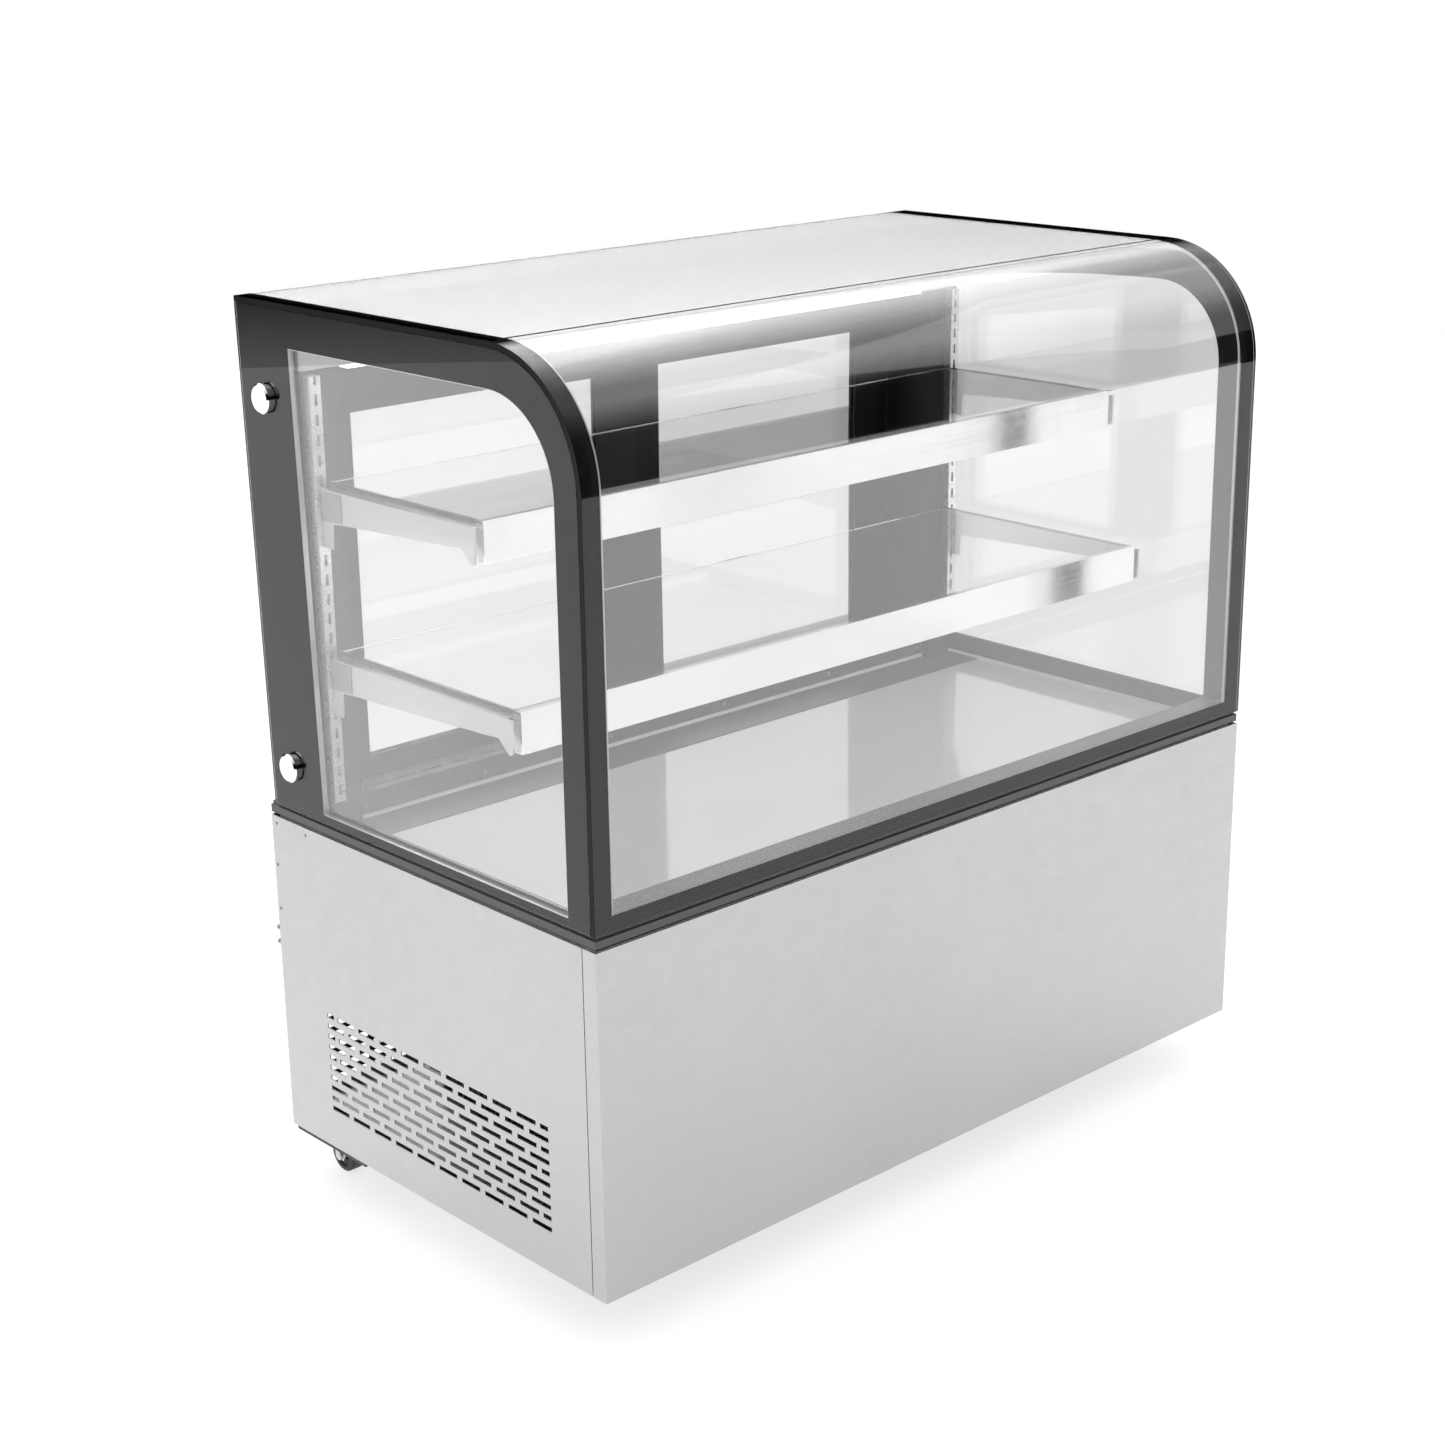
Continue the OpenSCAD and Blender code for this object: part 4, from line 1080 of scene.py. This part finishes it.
@dataclass
class Rear(CasePart):
    """Louvre hoods, the display's digits and the doors' brushes.

    Attributes:
        first_x: X of the first column of louvres.
        pitch_x: distance between columns.
        slot_w: width of a slot.
        first_z: height of the lowest row.
        pitch_z: distance between rows.
        rows: number of rows.
        columns: number of columns.
        hood: how far a hood stands out.
        hood_edge: rounding of its edges.
        lit: segments of each digit that are on, from left to right as seen from behind.
        brush_w: width of a door's brush.
        brush_t: how far it stands out.
        brush_end: gap at its ends.
        tufts: number of its tufts.
        tuft_gap: gap between two tufts.
    """

    first_x: float = 0.060
    pitch_x: float = 0.118
    slot_w: float = 0.090
    first_z: float = 0.136
    pitch_z: float = 0.020
    rows: int = 10
    columns: int = 4
    hood: float = 0.0042
    hood_edge: float = 0.0003
    lit: tuple[str, ...] = ("abcdg", "acdefg")
    brush_w: float = 0.0045
    brush_t: float = 0.0006
    brush_end: float = 0.004
    tufts: int = 140
    tuft_gap: float = 0.0008

    def build(self) -> None:
        """Adds the hoods, the digits and both doors' brushes."""
        self.hoods()
        self.digits()
        for side, sign in (("left", -1), ("right", 1)):
            self.door_brush(side, sign)

    def hoods(self) -> None:
        """A pressed hood over each louvre slot."""
        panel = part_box("rear_panel")[1].y
        crest = panel + self.hood
        mesh = bmesh.new()
        for row in range(self.rows):
            for column in range(self.columns):
                x0 = self.first_x + column * self.pitch_x - 0.001
                x1 = x0 + self.slot_w + 0.002
                z = self.first_z + row * self.pitch_z - 0.002
                section = [(panel, z + 0.0115), (panel + 0.6 * self.hood, z + 0.0095),
                           (crest, z + 0.005), (crest, z), (crest - 0.0008, z),
                           (crest - 0.0009, z + 0.0045), (panel, z + 0.0102)]
                rings = []
                for x, squeeze in ((x0, 0.15), (x0 + 0.004, 1.0), (x1 - 0.004, 1.0), (x1, 0.15)):
                    rings.append([mesh.verts.new((x, panel + (y - panel) * squeeze, h)) for y, h in section])
                count = len(section)
                for one, two in zip(rings, rings[1:]):
                    for i in range(count):
                        mesh.faces.new((one[i], one[(i + 1) % count], two[(i + 1) % count], two[i]))
                mesh.faces.new(rings[0])
                mesh.faces.new(rings[-1])
        piece = add_piece("louvre_hoods", mesh)
        soften(piece, self.hood_edge, weld=False)
        self.keep(piece, "cabinet", "brushed_panel_x", "stainless")

    def digits(self) -> None:
        """Two seven-segment digits behind the display's window."""
        low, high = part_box("controller")
        y0, y1 = high.y - 0.00155, high.y - 0.0012
        wide, tall, bar, gap = 0.0075, 0.014, 0.0014, 0.0001
        mesh = bmesh.new()
        for index, segments in enumerate(self.lit):
            left = low.x + 0.0475 - index * 0.013
            foot = low.z + 0.026
            spans = {
                "a": (0, wide, tall - bar, tall),
                "b": (wide - bar, wide, tall / 2, tall),
                "c": (wide - bar, wide, 0, tall / 2),
                "d": (0, wide, 0, bar),
                "e": (0, bar, 0, tall / 2),
                "f": (0, bar, tall / 2, tall),
                "g": (0, wide, (tall - bar) / 2, (tall + bar) / 2),
            }
            for name in segments:
                a0, a1, z0, z1 = spans[name]
                near = (left - a1 + gap, y0, foot + z0 + gap)
                far = (left - a0 - gap, y1, foot + z1 - gap)
                slab(mesh, near, far)
        piece = add_piece("display_digits", mesh)
        self.keep(piece, "cabinet", "digits", "led_diffuser")

    def door_brush(self, side: str, sign: int) -> None:
        """Brush strip down a door's outer edge, cut into short tufts.

        Args:
            side: "left" or "right", as in the CAD nodes' names.
            sign: -1 for the left door and 1 for the right one.
        """
        low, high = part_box(f"{side}_door_frame")
        x = high.x if sign > 0 else low.x
        inside = x - sign * self.brush_w
        y = low.y - self.brush_t
        foot = low.z + self.brush_end
        length = high.z - low.z - 2 * self.brush_end
        mesh = bmesh.new()
        for row in range(self.tufts):
            z0 = foot + row * length / self.tufts
            z1 = z0 + length / self.tufts - self.tuft_gap
            slab(mesh, (min(x, inside), y, z0), (max(x, inside), low.y, z1))
        piece = add_piece(f"{side}_door_brush", mesh)
        self.keep(piece, f"{side}_door", "black_plastic", "black_plastic")


@dataclass
class Studio:
    """Floor, light and camera.

    Attributes:
        floor_radius: radius of the floor disc.
        floor_glow: light that the floor gives off.
        floor_loss: what the floor loses where it is seen through glass.
        through_loss: what the surroundings lose where they are seen through glass.
        softbox: brightness of the studio that mirrors show.
        sky: (position, level) stops of that studio, from low in front to high behind.
        shallow_faces: glass faces past which a mirrored ray no longer sees that studio.
        steep_rise: steepness from which it sees the studio through any number of faces.
        camera_at: where the camera stands.
        azimuth: its direction round the case, in degrees from -Y.
        elevation: its height above the case, in degrees.
        roll: its turn about its own line of sight, in degrees.
        lens: focal length in millimetres on a sensor of that width.
        sensor: width of the sensor in millimetres.
        lamp_set: name, place, width and watts of each lamp.
        lamp_aim: point that the lamps face.
    """

    floor_radius: float = 7.2
    floor_glow: float = 0.7
    floor_loss: float = 0.42
    through_loss: float = 0.26
    softbox: float = 3.2
    sky: tuple[Point, ...] = ((0.0, 0.01), (0.2, 0.1), (0.45, 0.27), (0.6, 0.25),
                              (0.73, 0.38), (0.82, 0.53), (0.89, 0.72), (0.93, 1.0))
    shallow_faces: float = 3.5
    steep_rise: float = 0.4
    camera_at: Place = (-2.2771, -2.3826, 1.6440)
    azimuth: float = -42.57
    elevation: float = 17.811
    roll: float = -0.813
    lens: float = 63.12
    sensor: float = 36.0
    lamp_set: tuple[tuple[str, Place, float, float], ...] = (
        ("key", (-1.6, -2.4, 3.0), 2.2, 10.0),
        ("fill", (2.6, -1.0, 2.4), 2.0, 5.0),
    )
    lamp_aim: Place = (0.0, 0.0, 0.6)

    def build(self) -> None:
        """Makes the camera, the floor, the surroundings and the lamps."""
        self.camera()
        self.floor()
        self.surroundings()
        self.lamps()
        bpy.context.scene.view_settings.view_transform = "Standard"
        cycles = bpy.context.scene.cycles
        cycles.max_bounces = 28
        cycles.transmission_bounces = 26
        cycles.transparent_max_bounces = 32
        cycles.glossy_bounces = 8
        cycles.diffuse_bounces = 3

    def camera(self) -> None:
        """Places the camera by azimuth, elevation and roll."""
        a, e, r = (math.radians(v) for v in (self.azimuth, self.elevation, self.roll))
        back = Vector((math.sin(a) * math.cos(e), -math.cos(a) * math.cos(e), math.sin(e)))
        right = Vector((0, 0, 1)).cross(back).normalized()
        up = back.cross(right)
        rolled_right = right * math.cos(r) + up * math.sin(r)
        rolled_up = up * math.cos(r) - right * math.sin(r)
        data = bpy.data.cameras.new("camera")
        data.lens = self.lens
        data.sensor_width = self.sensor
        data.clip_start, data.clip_end = 0.05, 200.0
        camera = bpy.data.objects.new("camera", data)
        turn = Matrix((rolled_right, rolled_up, back)).transposed().to_4x4()
        camera.matrix_world = Matrix.Translation(Vector(self.camera_at)) @ turn
        bpy.context.scene.collection.objects.link(camera)
        bpy.context.scene.camera = camera

    def floor(self) -> None:
        """Round pale floor that glows a little, so that it stays near white."""
        mesh = bmesh.new()
        bmesh.ops.create_circle(mesh, cap_ends=True, segments=128, radius=self.floor_radius)
        floor = add_piece("studio_floor", mesh)
        w = Wiring("studio_floor")
        paper = w.noise(30.0, 4.0)
        tone = w.between(paper, (0.42, 0.42, 0.42), (0.44, 0.44, 0.44))
        path = w.node("ShaderNodeLightPath")
        direct = w.math("LESS_THAN", path.outputs["Glossy Depth"], 0.5)
        seen_through = w.math("MULTIPLY", path.outputs["Is Transmission Ray"], direct)
        glow = w.math("SUBTRACT", self.floor_glow, w.math("MULTIPLY", seen_through, self.floor_loss))
        shader = w.node("ShaderNodeBsdfPrincipled", Base__Color=tone, Roughness=0.9,
                        Emission__Color=(1.0, 1.0, 1.0), Emission__Strength=glow)
        floor.data.materials.append(w.finish(shader.outputs[0]))

    def surroundings(self) -> None:
        """White room; only mirrored rays see the dim side of the studio in front of the case."""
        w = Wiring("studio", world=True)
        towards = w.node("ShaderNodeSeparateXYZ")
        w.put(towards.inputs[0], w.node("ShaderNodeTexCoord").outputs["Generated"])
        back, rise = towards.outputs[1], towards.outputs[2]
        slant = w.math("ADD", rise, w.math("MULTIPLY", back, 0.7))
        sky = w.math("MULTIPLY", w.ramp(slant, self.sky), w.spread(rise, 0.0, 1.0, 0.32, 0.5))
        below = w.spread(rise, 1.0, 0.0, -0.17, -0.13)
        level = w.math("ADD", w.math("MULTIPLY", sky, self.softbox), below)
        path = w.node("ShaderNodeLightPath")
        shallow = w.math("LESS_THAN", path.outputs["Transmission Depth"], self.shallow_faces)
        out_front = w.math("LESS_THAN", back, 0.0)
        up = w.math("GREATER_THAN", rise, self.steep_rise)
        open_side = w.math("MAXIMUM", shallow, w.math("MAXIMUM", out_front, up))
        mirrored = w.math("MULTIPLY", w.math("GREATER_THAN", path.outputs["Glossy Depth"], 0.5), open_side)
        through = w.math("MULTIPLY", path.outputs["Is Transmission Ray"], self.through_loss)
        plain_level = w.math("SUBTRACT", 1.0, through)
        plain = w.node("ShaderNodeBackground", Color=(1.0, 1.0, 1.0), Strength=plain_level)
        studio = w.node("ShaderNodeBackground", Color=(1.0, 1.0, 1.0), Strength=level)
        bpy.context.scene.world = w.finish(mix_shaders(w, mirrored, plain.outputs[0], studio.outputs[0]))

    def lamps(self) -> None:
        """Two large soft lamps."""
        for name, at, size, watts in self.lamp_set:
            data = bpy.data.lights.new(name, "AREA")
            data.shape = "SQUARE"
            data.size = size
            data.energy = watts
            lamp = bpy.data.objects.new(name, data)
            lamp.location = at
            lamp.rotation_mode = "QUATERNION"
            lamp.rotation_quaternion = (Vector(self.lamp_aim) - Vector(at)).to_track_quat("-Z", "Y")
            bpy.context.scene.collection.objects.link(lamp)


def main() -> None:
    """Builds the case and the studio around it."""
    logging.basicConfig(level=logging.INFO, format="%(name)s: %(message)s")
    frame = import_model()
    palette = Palette()
    Studio().build()
    CadSkin(palette).build(frame["nodes"])
    Glazing(palette).build()
    Floor(palette).build()
    for level in ("upper", "lower"):
        Shelf(palette, level).build()
    Rear(palette).build()


if __name__ == "__main__":
    main()
